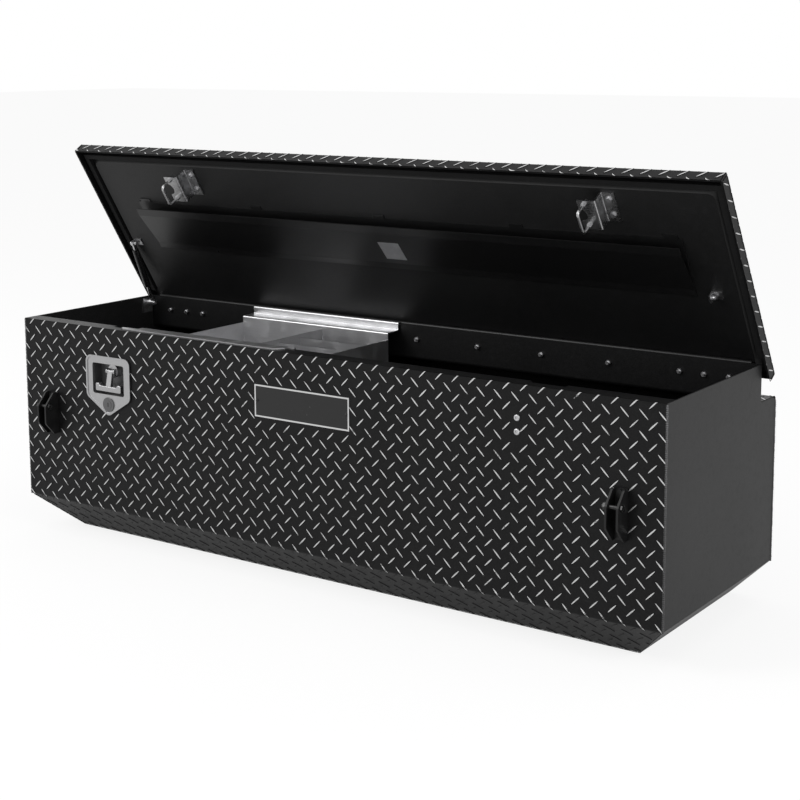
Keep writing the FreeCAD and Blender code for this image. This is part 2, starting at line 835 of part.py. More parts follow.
def handle_hub():
    """Turning boss in the dish, its spindle, and two ears for the folding handle."""
    floor = bezel_y + dish_depth - bezel_sheet
    boss = rod(hub_radius, (latch_x, floor - gap - 12, hub_z), (0, 1, 0), 12)
    spindle = rod(spindle_radius, (latch_x, floor - gap - 1, hub_z), (0, 1, 0), cam_y() + 4 - floor + gap + 1)
    hub = boss.fuse(spindle)
    for side in (-1, 1):
        x0 = latch_x + side * 10 - 2
        ear = prism(
            [
                (floor - gap - 12 - 9, hub_z - 4.5, 4.0),
                (floor - gap - 12 - 9, hub_z + 4.5, 4.0),
                (floor - gap - 10, hub_z + 6.5),
                (floor - gap - 10, hub_z - 6.5),
            ],
            "X",
            x0,
            x0 + 4,
        )
        hub = hub.fuse(ear)
    bore = rod(handle_pin_radius, (latch_x - 20, handle_pivot_y(), hub_z), (1, 0, 0), 40)
    return hub.cut(bore)


def handle_pivot_y():
    return bezel_y + dish_depth - bezel_sheet - gap - 12 - 4.5


def cam_y():
    """Front face of the cam plate, behind the dish."""
    return bezel_y + dish_depth + 8


def handle_pin():
    return rod(handle_pin_radius, (latch_x - 12, handle_pivot_y(), hub_z), (1, 0, 0), 24)


def cam_plate():
    """Disc clamped on the spindle with an offset pin that drives the rod."""
    disc = rod(cam_radius, (latch_x, cam_y(), hub_z), (0, 1, 0), 4)
    disc = disc.cut(rod(spindle_radius, (latch_x, cam_y() - 1, hub_z), (0, 1, 0), 6))
    pin = rod(cam_pin_radius, (latch_x, cam_y() + 4, hub_z - cam_throw), (0, 1, 0), 6)
    web = rod(cam_pin_radius + 0.6, (latch_x, cam_y() + 4, hub_z - cam_throw), (0, 1, 0), 0.6)
    return disc.fuse(pin).fuse(web)


def t_handle():
    """Folding handle: eye on the pin, stem, and a cross bar with upturned ends."""
    pivot = handle_pivot_y()
    eye = rod(4.2, (latch_x - 7.6, pivot, hub_z), (1, 0, 0), 15.2)
    front = bezel_y - handle_stand
    back = front + handle_bar_depth
    low = hub_z - handle_reach - handle_bar / 2
    high = low + handle_bar
    stem = prism(
        [
            (pivot - 4.2, hub_z),
            (pivot + 1.0, hub_z),
            (back - 1.0, high - 3.0),
            (front + 1.0, high - 3.0),
        ],
        "X",
        latch_x - 6.5,
        latch_x + 6.5,
    )
    profile = [
        (latch_x - handle_half_bar, low, 3.0),
        (latch_x + handle_half_bar, low, 3.0),
        (latch_x + handle_half_bar, high + 5, 4.0),
        (latch_x + handle_half_bar - 9, high + 5, 4.0),
        (latch_x + handle_half_bar - 13, high, 3.0),
        (latch_x - handle_half_bar + 13, high, 3.0),
        (latch_x - handle_half_bar + 9, high + 5, 4.0),
        (latch_x - handle_half_bar, high + 5, 4.0),
    ]
    bar = prism(profile, "Y", front, back)
    edges = [e for e in bar.Edges if e.BoundBox.YMax < front + 0.01]
    bar = bar.makeFillet(2.0, edges)
    handle = eye.fuse(stem).fuse(bar)
    bore = handle_pin_radius + pin_clearance
    return handle.cut(rod(bore, (latch_x - 20, pivot, hub_z), (1, 0, 0), 40))


# Rotary latches behind the front panel


def latch_levels():
    """Heights of the closed striker bar, the rotor pivot and the pawl pivot."""
    bar = loop_bar_z
    rotor_level = bar - rotor_below_bar
    return bar, rotor_level, rotor_level - rotor_radius - pawl_below_rotor


def latch_planes():
    """Front and back cheek planes, either side of the rotor."""
    reach = rotor_sheet / 2 + 0.5
    return rod_y - reach - cheek_sheet, rod_y - reach, rod_y + reach, rod_y + reach + cheek_sheet


def rotor_place(side):
    return side * striker_offset + rotor_beside_bar


def latch_housing(side, plate_low, plate_left):
    """Two cheeks, a web joining them to a wall plate, and a throat for the striker bar."""
    bar_z, rotor_z, pawl_z = latch_levels()
    a0, a1, b0, b1 = latch_planes()
    bar_x = side * striker_offset
    left = bar_x - 18.0
    right = bar_x + latch_post
    top = rim_z - 38.0
    low = rod_z - 10.0
    inner = front_y + sheet
    body = box(left, right, a0, a1, low, top).fuse(box(left, right, b0, b1, low, top))
    body = body.fuse(box(right - latch_web, right, a0, b1, low, top))
    body = body.fuse(box(right - latch_web, right, inner, b1, top - 32, top))
    body = body.fuse(box(plate_left, right, inner, inner + latch_web, plate_low, top))
    throat = loop_rod_radius + 1.5
    slot = box(bar_x - throat, bar_x + throat, a0 - 1, b1 + 1, bar_z, top + 1)
    slot = slot.fuse(rod(throat, (bar_x, a0 - 1, bar_z), (0, 1, 0), b1 - a0 + 2))
    mouth = [
        (bar_x - throat, top - 8),
        (bar_x + throat, top - 8),
        (bar_x + throat + 6, top + 1),
        (bar_x - throat - 6, top + 1),
    ]
    body = body.cut(slot).cut(prism(mouth, "Y", a0 - 1, b1 + 1))
    bores = ((rotor_z, rotor_pivot_radius), (pawl_z, pawl_pivot_radius))
    for z, radius in bores:
        body = body.cut(rod(radius, (rotor_place(side), a0 - 1, z), (0, 1, 0), b1 - a0 + 2))
    body = body.cut(rod(rod_radius + gap, (right - 10, rod_y, rod_z), (1, 0, 0), 20))
    if plate_left < latch_screw_offset < right:
        for drop in latch_screw_drops():
            start = (latch_screw_offset, inner - 1, rim_z - drop)
            body = body.cut(rod(latch_screw_radius, start, (0, 1, 0), 5))
    return body


def latch_pivots(side):
    _, rotor_z, pawl_z = latch_levels()
    a0, a1, b0, b1 = latch_planes()
    x = rotor_place(side)
    pins = []
    for z, radius in ((rotor_z, rotor_pivot_radius), (pawl_z, pawl_pivot_radius)):
        pin = rod(radius, (x, a0, z), (0, 1, 0), b1 - a0)
        head = rod(radius + 1.5, (x, b1, z), (0, 1, 0), 1.2)
        pins.append(pin.fuse(head))
    return pins


def rotor(side):
    """Turning claw: its entry faces up, and an arc channel lets it swing over the closed bar."""
    bar_z, rotor_z, _ = latch_levels()
    bar_x = side * striker_offset
    x = rotor_place(side)
    y0 = rod_y - rotor_sheet / 2
    y1 = y0 + rotor_sheet
    reach = math.hypot(rotor_beside_bar, rotor_below_bar)
    room = loop_rod_radius + claw_clearance
    claw = rod(rotor_radius, (x, y0, rotor_z), (0, 1, 0), rotor_sheet)
    entry = box(bar_x - room, bar_x + room, y0 - 1, y1 + 1, bar_z, bar_z + rotor_radius)
    start = math.atan2(rotor_below_bar, -rotor_beside_bar)
    end = start - math.radians(rotor_turn_deg)
    ring = []
    for radius, angles in ((reach + room, (start, end)), (reach - room, (end, start))):
        middle = (start + end) / 2
        turns = (angles[0], middle, angles[1])
        points = [Vector(x + radius * math.cos(t), y0 - 1, rotor_z + radius * math.sin(t)) for t in turns]
        ring.append((points[0], Part.Arc(*points).toShape(), points[2]))
    edges = [
        ring[0][1],
        Part.LineSegment(ring[0][2], ring[1][0]).toShape(),
        ring[1][1],
        Part.LineSegment(ring[1][2], ring[0][0]).toShape(),
    ]
    channel = Part.Face(Part.Wire(edges)).extrude(Vector(0, rotor_sheet + 2, 0))
    claw = claw.cut(entry).cut(channel)
    for angle in (start, end):
        end_x = x + reach * math.cos(angle)
        end_z = rotor_z + reach * math.sin(angle)
        claw = claw.cut(rod(room, (end_x, y0 - 1, end_z), (0, 1, 0), rotor_sheet + 2))
    bore = rod(rotor_pivot_radius + pin_clearance, (x, y0 - 1, rotor_z), (0, 1, 0), rotor_sheet + 2)
    return max(claw.cut(bore).Solids, key=lambda s: s.Volume)


def pawl(side):
    """Catch lever under the claw, with a tail for the rod's dog."""
    _, rotor_z, pawl_z = latch_levels()
    x = rotor_place(side)
    y0 = rod_y - rotor_sheet / 2
    y1 = y0 + rotor_sheet
    top = rotor_z - rotor_radius - 1.0
    low = rod_z + rod_radius + 2.0
    lever = box(x - pawl_width / 2, x + pawl_width / 2, y0, y1, low, top)
    lever = lever.fuse(rod(pawl_width / 2 + 2, (x, y0, pawl_z), (0, 1, 0), rotor_sheet))
    return lever.cut(rod(pawl_pivot_radius + pin_clearance, (x, y0 - 1, pawl_z), (0, 1, 0), rotor_sheet + 2))


def latch_rod():
    """Round pull rod along the front."""
    left = latch_x - yoke_arm - 2.0
    right = striker_offset + latch_post + guide_beyond_rod
    return rod(rod_radius, (left, rod_y, rod_z), (1, 0, 0), right - left)


def rod_dogs():
    """A dog on the rod beside each pawl's tail."""
    dogs = []
    for side in (-1, 1):
        x = rotor_place(side) + pawl_width / 2 + dog_gap
        top = rod_z + rod_radius + dog_rise
        dog = box(x, x + dog_length, rod_y - dog_half_width, rod_y + dog_half_width, rod_z, top)
        dogs.append(dog.cut(latch_rod()))
    return dogs


def rod_yoke():
    """Arm from the rod to a slotted plate behind the cam."""
    y0 = cam_y() + 5.2
    y1 = y0 + yoke_sheet
    low = rod_z - rod_radius
    right = latch_x + yoke_half_width
    plate = box(latch_x - yoke_half_width, right, y0, y1, low, hub_z + 6)
    arm = box(latch_x - yoke_arm, right, y0, y1, low, low + 10)
    foot = box(latch_x - yoke_arm, latch_x - yoke_arm + yoke_foot, y0, rod_y, low, low + yoke_sheet)
    reach = cam_pin_radius + 1.0
    slot = box(latch_x - reach, latch_x + reach, y0 - 1, y1 + 1, hub_z - cam_throw - reach - 1, hub_z + 7)
    return plate.fuse(arm).fuse(foot).cut(slot).cut(latch_rod())


def rod_guides():
    """Two brackets on the front panel that carry the long rod."""
    guides = []
    inner = front_y + sheet
    for x in (-striker_offset / 3, striker_offset / 3):
        low = rod_z - guide_half_height
        top = rod_z + guide_half_height
        arm = box(x, x + guide_sheet, inner, rod_y + guide_beyond_rod, low, top)
        foot = box(x, x + guide_foot, inner, inner + guide_sheet, low, top)
        bore = rod(rod_radius + pin_clearance, (x - 1, rod_y, rod_z), (1, 0, 0), guide_sheet + 2)
        guides.append(arm.fuse(foot).cut(bore))
    return guides


def latch_screw_drops():
    return latch_screw_drop, latch_screw_drop + latch_screw_pitch


def latch_screws():
    """Two button-head screws through the front panel into the right latch."""
    screws = []
    for drop in latch_screw_drops():
        z = rim_z - drop
        head = rod(latch_screw_head, (latch_screw_offset, front_y - 3.2, z), (0, 1, 0), 3.2)
        edges = [e for e in head.Edges if e.BoundBox.YMax < front_y - 3.1]
        head = head.makeFillet(2.2, edges)
        socket = hexagon(2.4, "Y", (latch_screw_offset, front_y - 4, z), 2.6)
        shank = rod(latch_screw_radius, (latch_screw_offset, front_y, z), (0, 1, 0), sheet + 3)
        screws.append(head.cut(socket).fuse(shank))
    return screws


# Nameplate and tie-down brackets on the front


def name_rivets():
    return -plate_width / 2 + 6.0, plate_width / 2 - 6.0


def nameplate():
    """Blank plate with a raised border."""
    z = rim_z - plate_drop
    wide = plate_width / 2
    tall = plate_height / 2
    y = front_y - plate_sheet
    plate = box(-wide, wide, y, front_y, z - tall, z + tall)
    edge = 3.0
    field = box(-wide + edge, wide - edge, y - 1, y + 0.5, z - tall + edge, z + tall - edge)
    plate = plate.cut(field)
    for x in name_rivets():
        plate = plate.cut(rod(rivet_radius / 2, (x, y - 1, z), (0, 1, 0), 5))
    return plate


def nameplate_rivets():
    z = rim_z - plate_drop
    rivets = []
    for x in name_rivets():
        dome = Part.makeSphere(rivet_radius, Vector(x, front_y - plate_sheet + 0.5, z))
        dome = dome.common(box(x - 5, x + 5, front_y - 9, front_y - plate_sheet + 0.5, z - 5, z + 5))
        shank = rod(rivet_radius / 2, (x, front_y - plate_sheet + 0.5, z), (0, 1, 0), sheet + plate_sheet + 1.0)
        rivets.append(dome.fuse(shank))
    return rivets


def tie_bracket(side):
    """Channel bracket: a web on the panel and two ears for a cross bolt."""
    x = side * tie_offset
    outer_half = tie_gap / 2 + tie_sheet
    z0 = rim_z - tie_drop - tie_height / 2
    z1 = z0 + tie_height
    ear = [
        (front_y, z0),
        (front_y, z1),
        (front_y - tie_reach + tie_cut * 0.9, z1, 3.0),
        (front_y - tie_reach, z1 - tie_cut, 8.0),
        (front_y - tie_reach, z0 + tie_cut, 8.0),
        (front_y - tie_reach + tie_cut * 0.9, z0, 3.0),
    ]
    block = prism(ear, "X", x - outer_half, x + outer_half)
    slot = box(x - tie_gap / 2, x + tie_gap / 2, front_y - tie_reach - 1, front_y - tie_sheet, z0 - 1, z1 + 1)
    block = block.cut(slot)
    bolt = (x - 30, tie_bolt_y(), tie_bolt_z())
    block = block.cut(rod(tie_bolt_radius, bolt, (1, 0, 0), 60))
    for z in tie_screw_levels():
        block = block.cut(rod(tie_bolt_radius, (x, front_y - 10, z), (0, 1, 0), 20))
    return block


def tie_bolt_y():
    return front_y - tie_bolt_reach


def tie_bolt_z():
    return rim_z - tie_drop + tie_bolt_rise


def tie_screw_levels():
    return rim_z - tie_drop - tie_screw_below, rim_z - tie_drop + tie_screw_above


def tie_bolts():
    """Cross bolts through the bracket ears, with their nuts."""
    bolts = []
    reach = tie_gap / 2 + tie_sheet
    for side in (-1, 1):
        x = side * tie_offset
        shank = rod(tie_bolt_radius, (x - reach - 8, tie_bolt_y(), tie_bolt_z()), (1, 0, 0), 2 * reach + 8)
        head = hexagon(tie_nut_radius, "X", (x + reach, tie_bolt_y(), tie_bolt_z()), tie_nut * 0.75)
        nut = hexagon(tie_nut_radius, "X", (x - reach, tie_bolt_y(), tie_bolt_z()), -tie_nut)
        bolts.append(shank.fuse(head).fuse(nut))
    return bolts


def tie_screws():
    """Screws that hold each bracket's web to the front panel, with nuts inside."""
    screws = []
    for side in (-1, 1):
        x = side * tie_offset
        for z in tie_screw_levels():
            head_y = front_y - tie_sheet - tie_screw_head
            head = rod(tie_screw_head_radius, (x, head_y, z), (0, 1, 0), tie_screw_head)
            shank = rod(tie_bolt_radius, (x, front_y - tie_sheet, z), (0, 1, 0), tie_sheet + sheet + tie_screw_tail)
            nut = hexagon(tie_nut_radius, "Y", (x, front_y + sheet, z), tie_nut)
            screws.append(head.fuse(shank).fuse(nut))
    return screws


# Gas spring at the left end


def spring_low():
    return Vector(-spring_offset, front_y + spring_low_y, rim_z - spring_low_drop)


def spring_lid_point():
    """Upper pivot on the closed lid."""
    return Vector(-spring_offset, hinge_y - spring_lid_arm, hinge_z + 4.0 - spring_lid_drop)


def spring_high():
    """Upper pivot, carried by the lid, at the open stop."""
    return open_lid(Part.Vertex(spring_lid_point())).Point


def spring_axis():
    return (spring_low() - spring_high()).normalize()


def along_spring(distance):
    return spring_high() + spring_axis() * distance


def end_eye(centre, towards, length):
    """Flat eye and neck at one end of the spring."""
    eye = rod(spring_eye, (centre.x - spring_blade / 2, centre.y, centre.z), (1, 0, 0), spring_blade)
    neck = Part.makeBox(spring_blade, 7.0, length, Vector(-spring_blade / 2, -3.5, 0))
    neck.Placement = FreeCAD.Placement(centre, FreeCAD.Rotation(Vector(0, 0, 1), (towards - centre).normalize()))
    return eye.fuse(neck)


def spring_tube_end():
    """Closed socket beside the lid bracket, with a boss on its outer side."""
    high = spring_high()
    boss = rod(5.0, (high.x - spring_blade / 2 - 2.5, high.y, high.z), (1, 0, 0), 3.0)
    return end_eye(high, spring_low(), spring_upper_neck).fuse(boss)


def spring_tube():
    start = along_spring(spring_upper_neck)
    body = Part.makeCylinder(spring_tube_radius, spring_tube_length, start, spring_axis())
    bore = spring_rod_radius + pin_clearance
    hollow_core = Part.makeCylinder(bore, spring_tube_length, start + spring_axis() * 5, spring_axis())
    return body.cut(hollow_core)


def spring_rod():
    """Rod from the lower eye up into the tube."""
    length = (spring_high() - spring_low()).Length
    start = spring_low() - spring_axis() * spring_lower_neck
    return Part.makeCylinder(spring_rod_radius, length - spring_lower_neck - spring_rod_clear, start, spring_axis() * -1)


def spring_rod_end():
    low = spring_low()
    fitting = end_eye(low, spring_high(), spring_lower_neck)
    bore = spring_stud_radius + pin_clearance
    return fitting.cut(rod(bore, (low.x - 5, low.y, low.z), (1, 0, 0), 10))


def spring_low_bracket():
    """Plate on the end wall with the stud that the rod's eye turns on, and a ring to keep it."""
    low = spring_low()
    wall = -half + sheet
    eye_left = low.x - spring_blade / 2
    eye_right = low.x + spring_blade / 2
    plate = box(wall, wall + 3, low.y - 16, low.y + 14, low.z - 24, low.z + 10)
    shoulder = rod(6.5, (wall, low.y, low.z), (1, 0, 0), eye_left - gap - wall)
    stud = rod(spring_stud_radius, (wall, low.y, low.z), (1, 0, 0), eye_right + 6 - wall)
    ring = rod(6.0, (eye_right + gap, low.y, low.z), (1, 0, 0), 1.5)
    return plate.fuse(shoulder).fuse(stud).fuse(ring)


def lid_angle(face, arm, drop):
    """Small angle on the liner with a stud through its web."""
    y = hinge_y - arm
    z = pan_z - drop
    web = box(face, face + 3, y - 8, y + 8, z - 7, pan_z)
    foot = box(face, face + 20, y - 8, y + 8, pan_z - 3, pan_z)
    stud = rod(spring_stud_radius, (face + 2, y, z), (1, 0, 0), 7.0)
    return open_lid(web.fuse(foot).fuse(stud))


def spring_lid_bracket():
    return lid_angle(-spring_offset + spring_blade / 2 + gap, spring_lid_arm, pan_z - spring_lid_point().z)


def lid_stud_bracket():
    return lid_angle(lid_stud_offset, lid_stud_arm, pan_z - spring_lid_point().z)


# Sliding tray


def tray_shell():
    """Bent aluminium tray that hangs on the front rim and the back wall."""
    z_shelf = rim_z - tray_shelf_drop
    z_low = rim_z - tray_depth
    lip_z = rim_z + gap
    back = front_y + tray_back_y
    front = front_y + tray_front_y
    hook_y = upper_y - sheet - 2.0
    rim_y = front_y + rim_flange + 1.0
    t = tray_sheet
    lip_y = front_y - seal_overhang + seal_width + 1.0
    path = [
        (lip_y, lip_z),
        (rim_y, lip_z),
        (rim_y, z_shelf),
        (front, z_shelf),
        (front, z_low),
        (back, z_low),
        (back, z_shelf),
        (hook_y - t, z_shelf),
        (hook_y - t, lip_z),
        (upper_y + 0.5, lip_z),
    ]
    band = folded(path, t, "X", tray_left, tray_right, tray_bend)
    z_side = rim_z - tray_side_drop
    for x in (tray_left, tray_right - t):
        band = band.fuse(box(x, x + t, front + 0.5, back - 0.5, z_low + 0.5, z_side))
    relief_y = striker_relief_y()
    relief_x = -striker_offset + loop_from_web + striker_base + 3.0
    lip = prism(
        [
            (tray_lip_left + 10, lip_y),
            (tray_lip_right, lip_y),
            (tray_lip_right + 14, lip_y + 18),
            (tray_lip_right + 14, rim_y - 3),
            (relief_x, rim_y - 3),
            (relief_x, relief_y),
            (tray_lip_left, relief_y),
            (tray_lip_left, lip_y + 8),
        ],
        "Z",
        lip_z,
        lip_z + t,
    )
    extra = box(tray_lip_right, tray_right + 1, front_y, rim_y - 3, lip_z - 1, lip_z + t + 1)
    return tray_rivet_holes(band.cut(extra).fuse(lip))


def tray_divider():
    """Cross plate in the tray with a bent foot on the floor."""
    x = tray_divider_x
    floor_z = rim_z - tray_depth + tray_sheet
    y0 = front_y + tray_front_y + tray_sheet + tray_bend
    y1 = front_y + tray_back_y - tray_sheet - tray_bend
    path = [(x - tray_divider_foot, floor_z), (x, floor_z), (x, rim_z - tray_divider_drop)]
    return tray_rivet_holes(folded(path, tray_divider_sheet, "Y", y0, y1, tray_bend))


def tray_cross_plates():
    """Two low plates across the right compartment."""
    plates = []
    floor_z = rim_z - tray_depth + tray_sheet
    for place_y in tray_cross_places:
        y = front_y + place_y
        path = [(y, rim_z - tray_cross_drop), (y, floor_z), (y + tray_divider_foot, floor_z)]
        plates.append(folded(path, tray_divider_sheet, "X", tray_divider_x, tray_right - tray_sheet, tray_bend))
    return plates


def tray_rivet_places():
    """Rivet centres along the divider's foot."""
    span = tray_back_y - tray_front_y
    return [(tray_divider_x - 10, front_y + tray_front_y + span * share) for share in (0.12, 0.3, 0.88)]


def tray_rivet_holes(shape):
    for x, y in tray_rivet_places():
        shape = shape.cut(rod(tray_rivet_radius, (x, y, rim_z - tray_depth - 1), (0, 0, 1), 12))
    return shape


def tray_rivets():
    """Rivets through the divider's foot and the tray floor."""
    z = rim_z - tray_depth
    rivets = []
    for x, y in tray_rivet_places():
        shank = rod(tray_rivet_radius, (x, y, z - 0.8), (0, 0, 1), tray_sheet + tray_divider_sheet + 0.8)
        head = rod(3.2, (x, y, z + tray_sheet + tray_divider_sheet), (0, 0, 1), 1.2)
        tail = rod(2.6, (x, y, z - 1.2), (0, 0, 1), 1.2)
        rivets.append(shank.fuse(head).fuse(tail))
    return rivets


left_end, right_end = end_panels()
left_bracket, left_loop, left_nuts = striker_parts(-1)
right_bracket, right_loop, right_nuts = striker_parts(1)

nodes = {
    "front_panel": front_panel(),
    "left_end_panel": left_end,
    "right_end_panel": right_end,
    "back_lower_panel": back_lower_panel(),
    "back_step_panel": back_step_panel(),
    "floor_panel": floor_panel(),
    "hinge_fixed_leaf": hinge_fixed_leaf(),
    "hinge_lid_leaf": hinge_lid_leaf(),
    "hinge_pin": hinge_pin(),
    "hinge_wall_bolts": hinge_wall_bolts(),
    "hinge_lid_rivets": hinge_lid_rivets(),
    "lid_skin": lid_skin(),
    "lid_liner": lid_liner(),
    "lid_seal": lid_seal(),
    "lid_pocket": lid_pocket(),
    "label_plate": label_plate(),
    "striker_bracket_left": open_lid(left_bracket),
    "striker_bracket_right": open_lid(right_bracket),
    "striker_loop_left": open_lid(left_loop),
    "striker_loop_right": open_lid(right_loop),
    "striker_nuts": [open_lid(nut) for nut in left_nuts + right_nuts],
    "striker_bolts": striker_bolts(-1) + striker_bolts(1),
    "latch_dish": latch_dish(),
    "latch_gasket": latch_gasket(),
    "lock_barrel": lock_barrel(),
    "key_plug": key_plug(),
    "handle_hub": handle_hub(),
    "handle_pin": handle_pin(),
    "cam_plate": cam_plate(),
    "t_handle": t_handle(),
    "latch_housing_left": latch_housing(-1, rim_z - left_plate_drop, -striker_offset - left_plate_reach),
    "latch_housing_right": latch_housing(1, rim_z - right_plate_drop, latch_screw_offset - right_plate_reach),
    "latch_pivots": latch_pivots(-1) + latch_pivots(1),
    "rotor_left": rotor(-1),
    "rotor_right": rotor(1),
    "pawl_left": pawl(-1),
    "pawl_right": pawl(1),
    "latch_rod": latch_rod(),
    "rod_dogs": rod_dogs(),
    "rod_yoke": rod_yoke(),
    "rod_guides": rod_guides(),
    "latch_screws": latch_screws(),
    "nameplate": nameplate(),
    "nameplate_rivets": nameplate_rivets(),
    "tie_bracket_left": tie_bracket(-1),
    "tie_bracket_right": tie_bracket(1),
    "tie_bolts": tie_bolts(),
    "tie_screws": tie_screws(),
    "spring_tube": spring_tube(),
    "spring_tube_end": spring_tube_end(),
    "spring_rod": spring_rod(),
    "spring_rod_end": spring_rod_end(),
    "spring_low_bracket": spring_low_bracket(),
    "spring_lid_bracket": spring_lid_bracket(),
    "lid_stud_bracket": lid_stud_bracket(),
    "tray_shell": tray_shell(),
    "tray_divider": tray_divider(),
    "tray_cross_plates": tray_cross_plates(),
    "tray_rivets": tray_rivets(),
}


def spring_travel():
    """Swing in degrees and stroke in millimetres as the lid closes."""
    low = spring_low()
    opened = spring_high() - low
    closed = spring_lid_point() - low
    swing = math.degrees(math.atan2(closed.z, closed.y) - math.atan2(opened.z, opened.y))
    return swing, opened.Length - closed.Length


for name, shape in nodes.items():
    save(name, shape)

print("lid hinge at y, z:", round(hinge_y, 3), round(hinge_z, 3))
print("gas spring foot at y, z:", round(spring_low().y, 3), round(spring_low().z, 3))
print("gas spring axis towards its foot:", [round(c, 5) for c in spring_axis()])
print("gas spring swing and stroke:", [round(v, 4) for v in spring_travel()])
print("latch pivots at z:", [round(v, 3) for v in latch_levels()], "y", round(rod_y, 3))
print("handle pivot at y, z:", round(handle_pivot_y(), 3), round(hub_z, 3), "key at z:", round(key_z, 3))
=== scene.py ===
"""Finishes, tread lugs, weld beads and studio for a long tread-plate tool box."""

import json
import math

import bmesh
import bpy
from bpy.props import FloatProperty, FloatVectorProperty, IntProperty, PointerProperty
from mathutils import Matrix, Vector


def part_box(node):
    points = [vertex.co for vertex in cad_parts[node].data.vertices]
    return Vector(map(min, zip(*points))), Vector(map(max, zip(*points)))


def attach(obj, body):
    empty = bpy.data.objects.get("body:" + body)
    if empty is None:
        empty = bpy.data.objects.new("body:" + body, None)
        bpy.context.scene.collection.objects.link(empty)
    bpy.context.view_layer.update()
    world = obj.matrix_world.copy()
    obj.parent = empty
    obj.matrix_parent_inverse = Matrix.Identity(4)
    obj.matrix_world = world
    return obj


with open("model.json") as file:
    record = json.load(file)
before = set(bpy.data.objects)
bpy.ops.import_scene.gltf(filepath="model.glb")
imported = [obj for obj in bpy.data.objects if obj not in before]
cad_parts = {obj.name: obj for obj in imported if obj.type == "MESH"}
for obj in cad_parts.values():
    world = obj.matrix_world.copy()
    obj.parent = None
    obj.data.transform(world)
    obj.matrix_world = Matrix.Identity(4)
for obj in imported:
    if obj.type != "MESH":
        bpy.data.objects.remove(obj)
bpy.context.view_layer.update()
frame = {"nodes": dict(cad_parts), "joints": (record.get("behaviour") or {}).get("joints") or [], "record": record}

bl_info = {
    "name": "Tread-plate tool box",
    "version": (1, 0, 0),
    "blender": (4, 5, 0),
    "location": "View3D > Sidebar > Tool box",
    "description": "Dresses a long truck bed tool box with its tread pattern, welds and finishes",
    "category": "Object",
}

MM = 0.001
LID_JOINT = next(j for j in frame["joints"] if j["name"] == "lid_hinge")
LID_TURN = math.radians(LID_JOINT["range_deg"][1])
HINGE = Vector(LID_JOINT["pos_m"])
SLOT_OF = {part["node"]: part["material_slot"] for part in frame["record"]["subparts"]}

# Folds of the body that the lugs and the welds follow
FOOT_FOLD_Z = 78.0 * MM
FOOT_RUN = 81.0 * MM
FOOT_BEND = 7.0 * MM
END_TAPER = 80.0 / 78.0
LEDGE_Z = 397.0 * MM
LEDGE_RUN = 66.0 * MM
LEDGE_BEND = 9.0 * MM
BACK_LOW_Z = 8.0 * MM

# The shut lid's folded sheet; its lugs are laid on it shut and swung open
LID_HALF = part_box("lid_skin")[1][0]
LID_FRONT = -0.2355
LID_BACK = 0.2225
LID_TOP = 0.4843
LID_FLANGE = 0.026
LID_BEND = 3.0 * MM
LID_END_GAP = 2.5 * MM
LID_BACK_GAP = 10.0 * MM
LID_FIRST_ROW = 0.3
HIDDEN_FIRST_LUG = 0.012

# Lugs: how fast they narrow to their ends, how far they are sunk, how much their sizes vary,
# which points are merged, and what counts as a sliver
LUG_NARROWING = 0.9
LUG_SINK = 0.4
LUG_SIZES = ((0.95, 0.9, 0.94), (1.04, 1.08, 1.06))
LUG_DOUBLES = 0.00005
SMALLEST_LUG = 1.2 * MM
FEWEST_POINTS = 8

# How far the lugs keep off what sits on the front; the dish's flange overlaps some
KEEP_OFF = {
    "latch_dish": -5.0 * MM,
    "nameplate": 2.0 * MM,
    "tie_bracket_left": 3.0 * MM,
    "tie_bracket_right": 3.0 * MM,
    "latch_screws": 5.0 * MM,
}
THROUGH_SHEET = 0.02

# Spacing of the points on a profile that the lugs are wrapped over
BEND_PARTS = 6
FLAT_STEP = 0.012
SHORT_RUN = 4 * MM
BEND_MARGIN = 0.0006
LARGEST_MARGIN = 0.2
SAME_PLACE = 1e-7

# Weld beads, measured in from the edges that they run along
WELD_INSET_X = 0.5 * MM
WELD_INSET_Y = 0.6 * MM
WELD_RIM_GAP = 4.0 * MM
WELD_LEDGE_GAP = 10.0 * MM
RIPPLE_SIZES = (0.82, 1.12)
RIPPLE_OVERLAP = 1.25

# Where the finish changes: on the dish's rim, behind which the pan gets painted shade, the nameplate's border and
# up the weld beads
DISH_RIM = 5.5 * MM
PLATE_BORDER = 3.0 * MM
WELD_FADE = (0.2, 0.55)

# Stage
FLOOR_HALF = 30.0
FLOOR_Z = -0.0006
FLOOR_GLOSS = 0.4
LAMP_TARGET = (0.0, 0.0, 0.35)
KEY_LAMP = {"place": (-2.6, -3.2, 3.4), "size": 2.6}
SIDE_LAMP = {"place": (3.8, -0.4, 1.6), "size": 1.8}
SENSOR_WIDTH = 36.0
VIEW_DEPTH = 100.0


class Number:
    """A number socket. Expressions on it add Math nodes to its graph."""

    def __init__(self, graph, socket):
        self.graph = graph
        self.socket = socket

    def output(self, name):
        return Number(self.graph, self.socket.node.outputs[name])

    def __add__(self, other):
        return self.graph.math("ADD", self, other)

    def __radd__(self, other):
        return self.graph.math("ADD", other, self)

    def __sub__(self, other):
        return self.graph.math("SUBTRACT", self, other)

    def __rsub__(self, other):
        return self.graph.math("SUBTRACT", other, self)

    def __mul__(self, other):
        return self.graph.math("MULTIPLY", self, other)

    def __rmul__(self, other):
        return self.graph.math("MULTIPLY", other, self)

    def __truediv__(self, other):
        return self.graph.math("DIVIDE", self, other)

    def __neg__(self):
        return self.graph.math("MULTIPLY", self, -1.0)


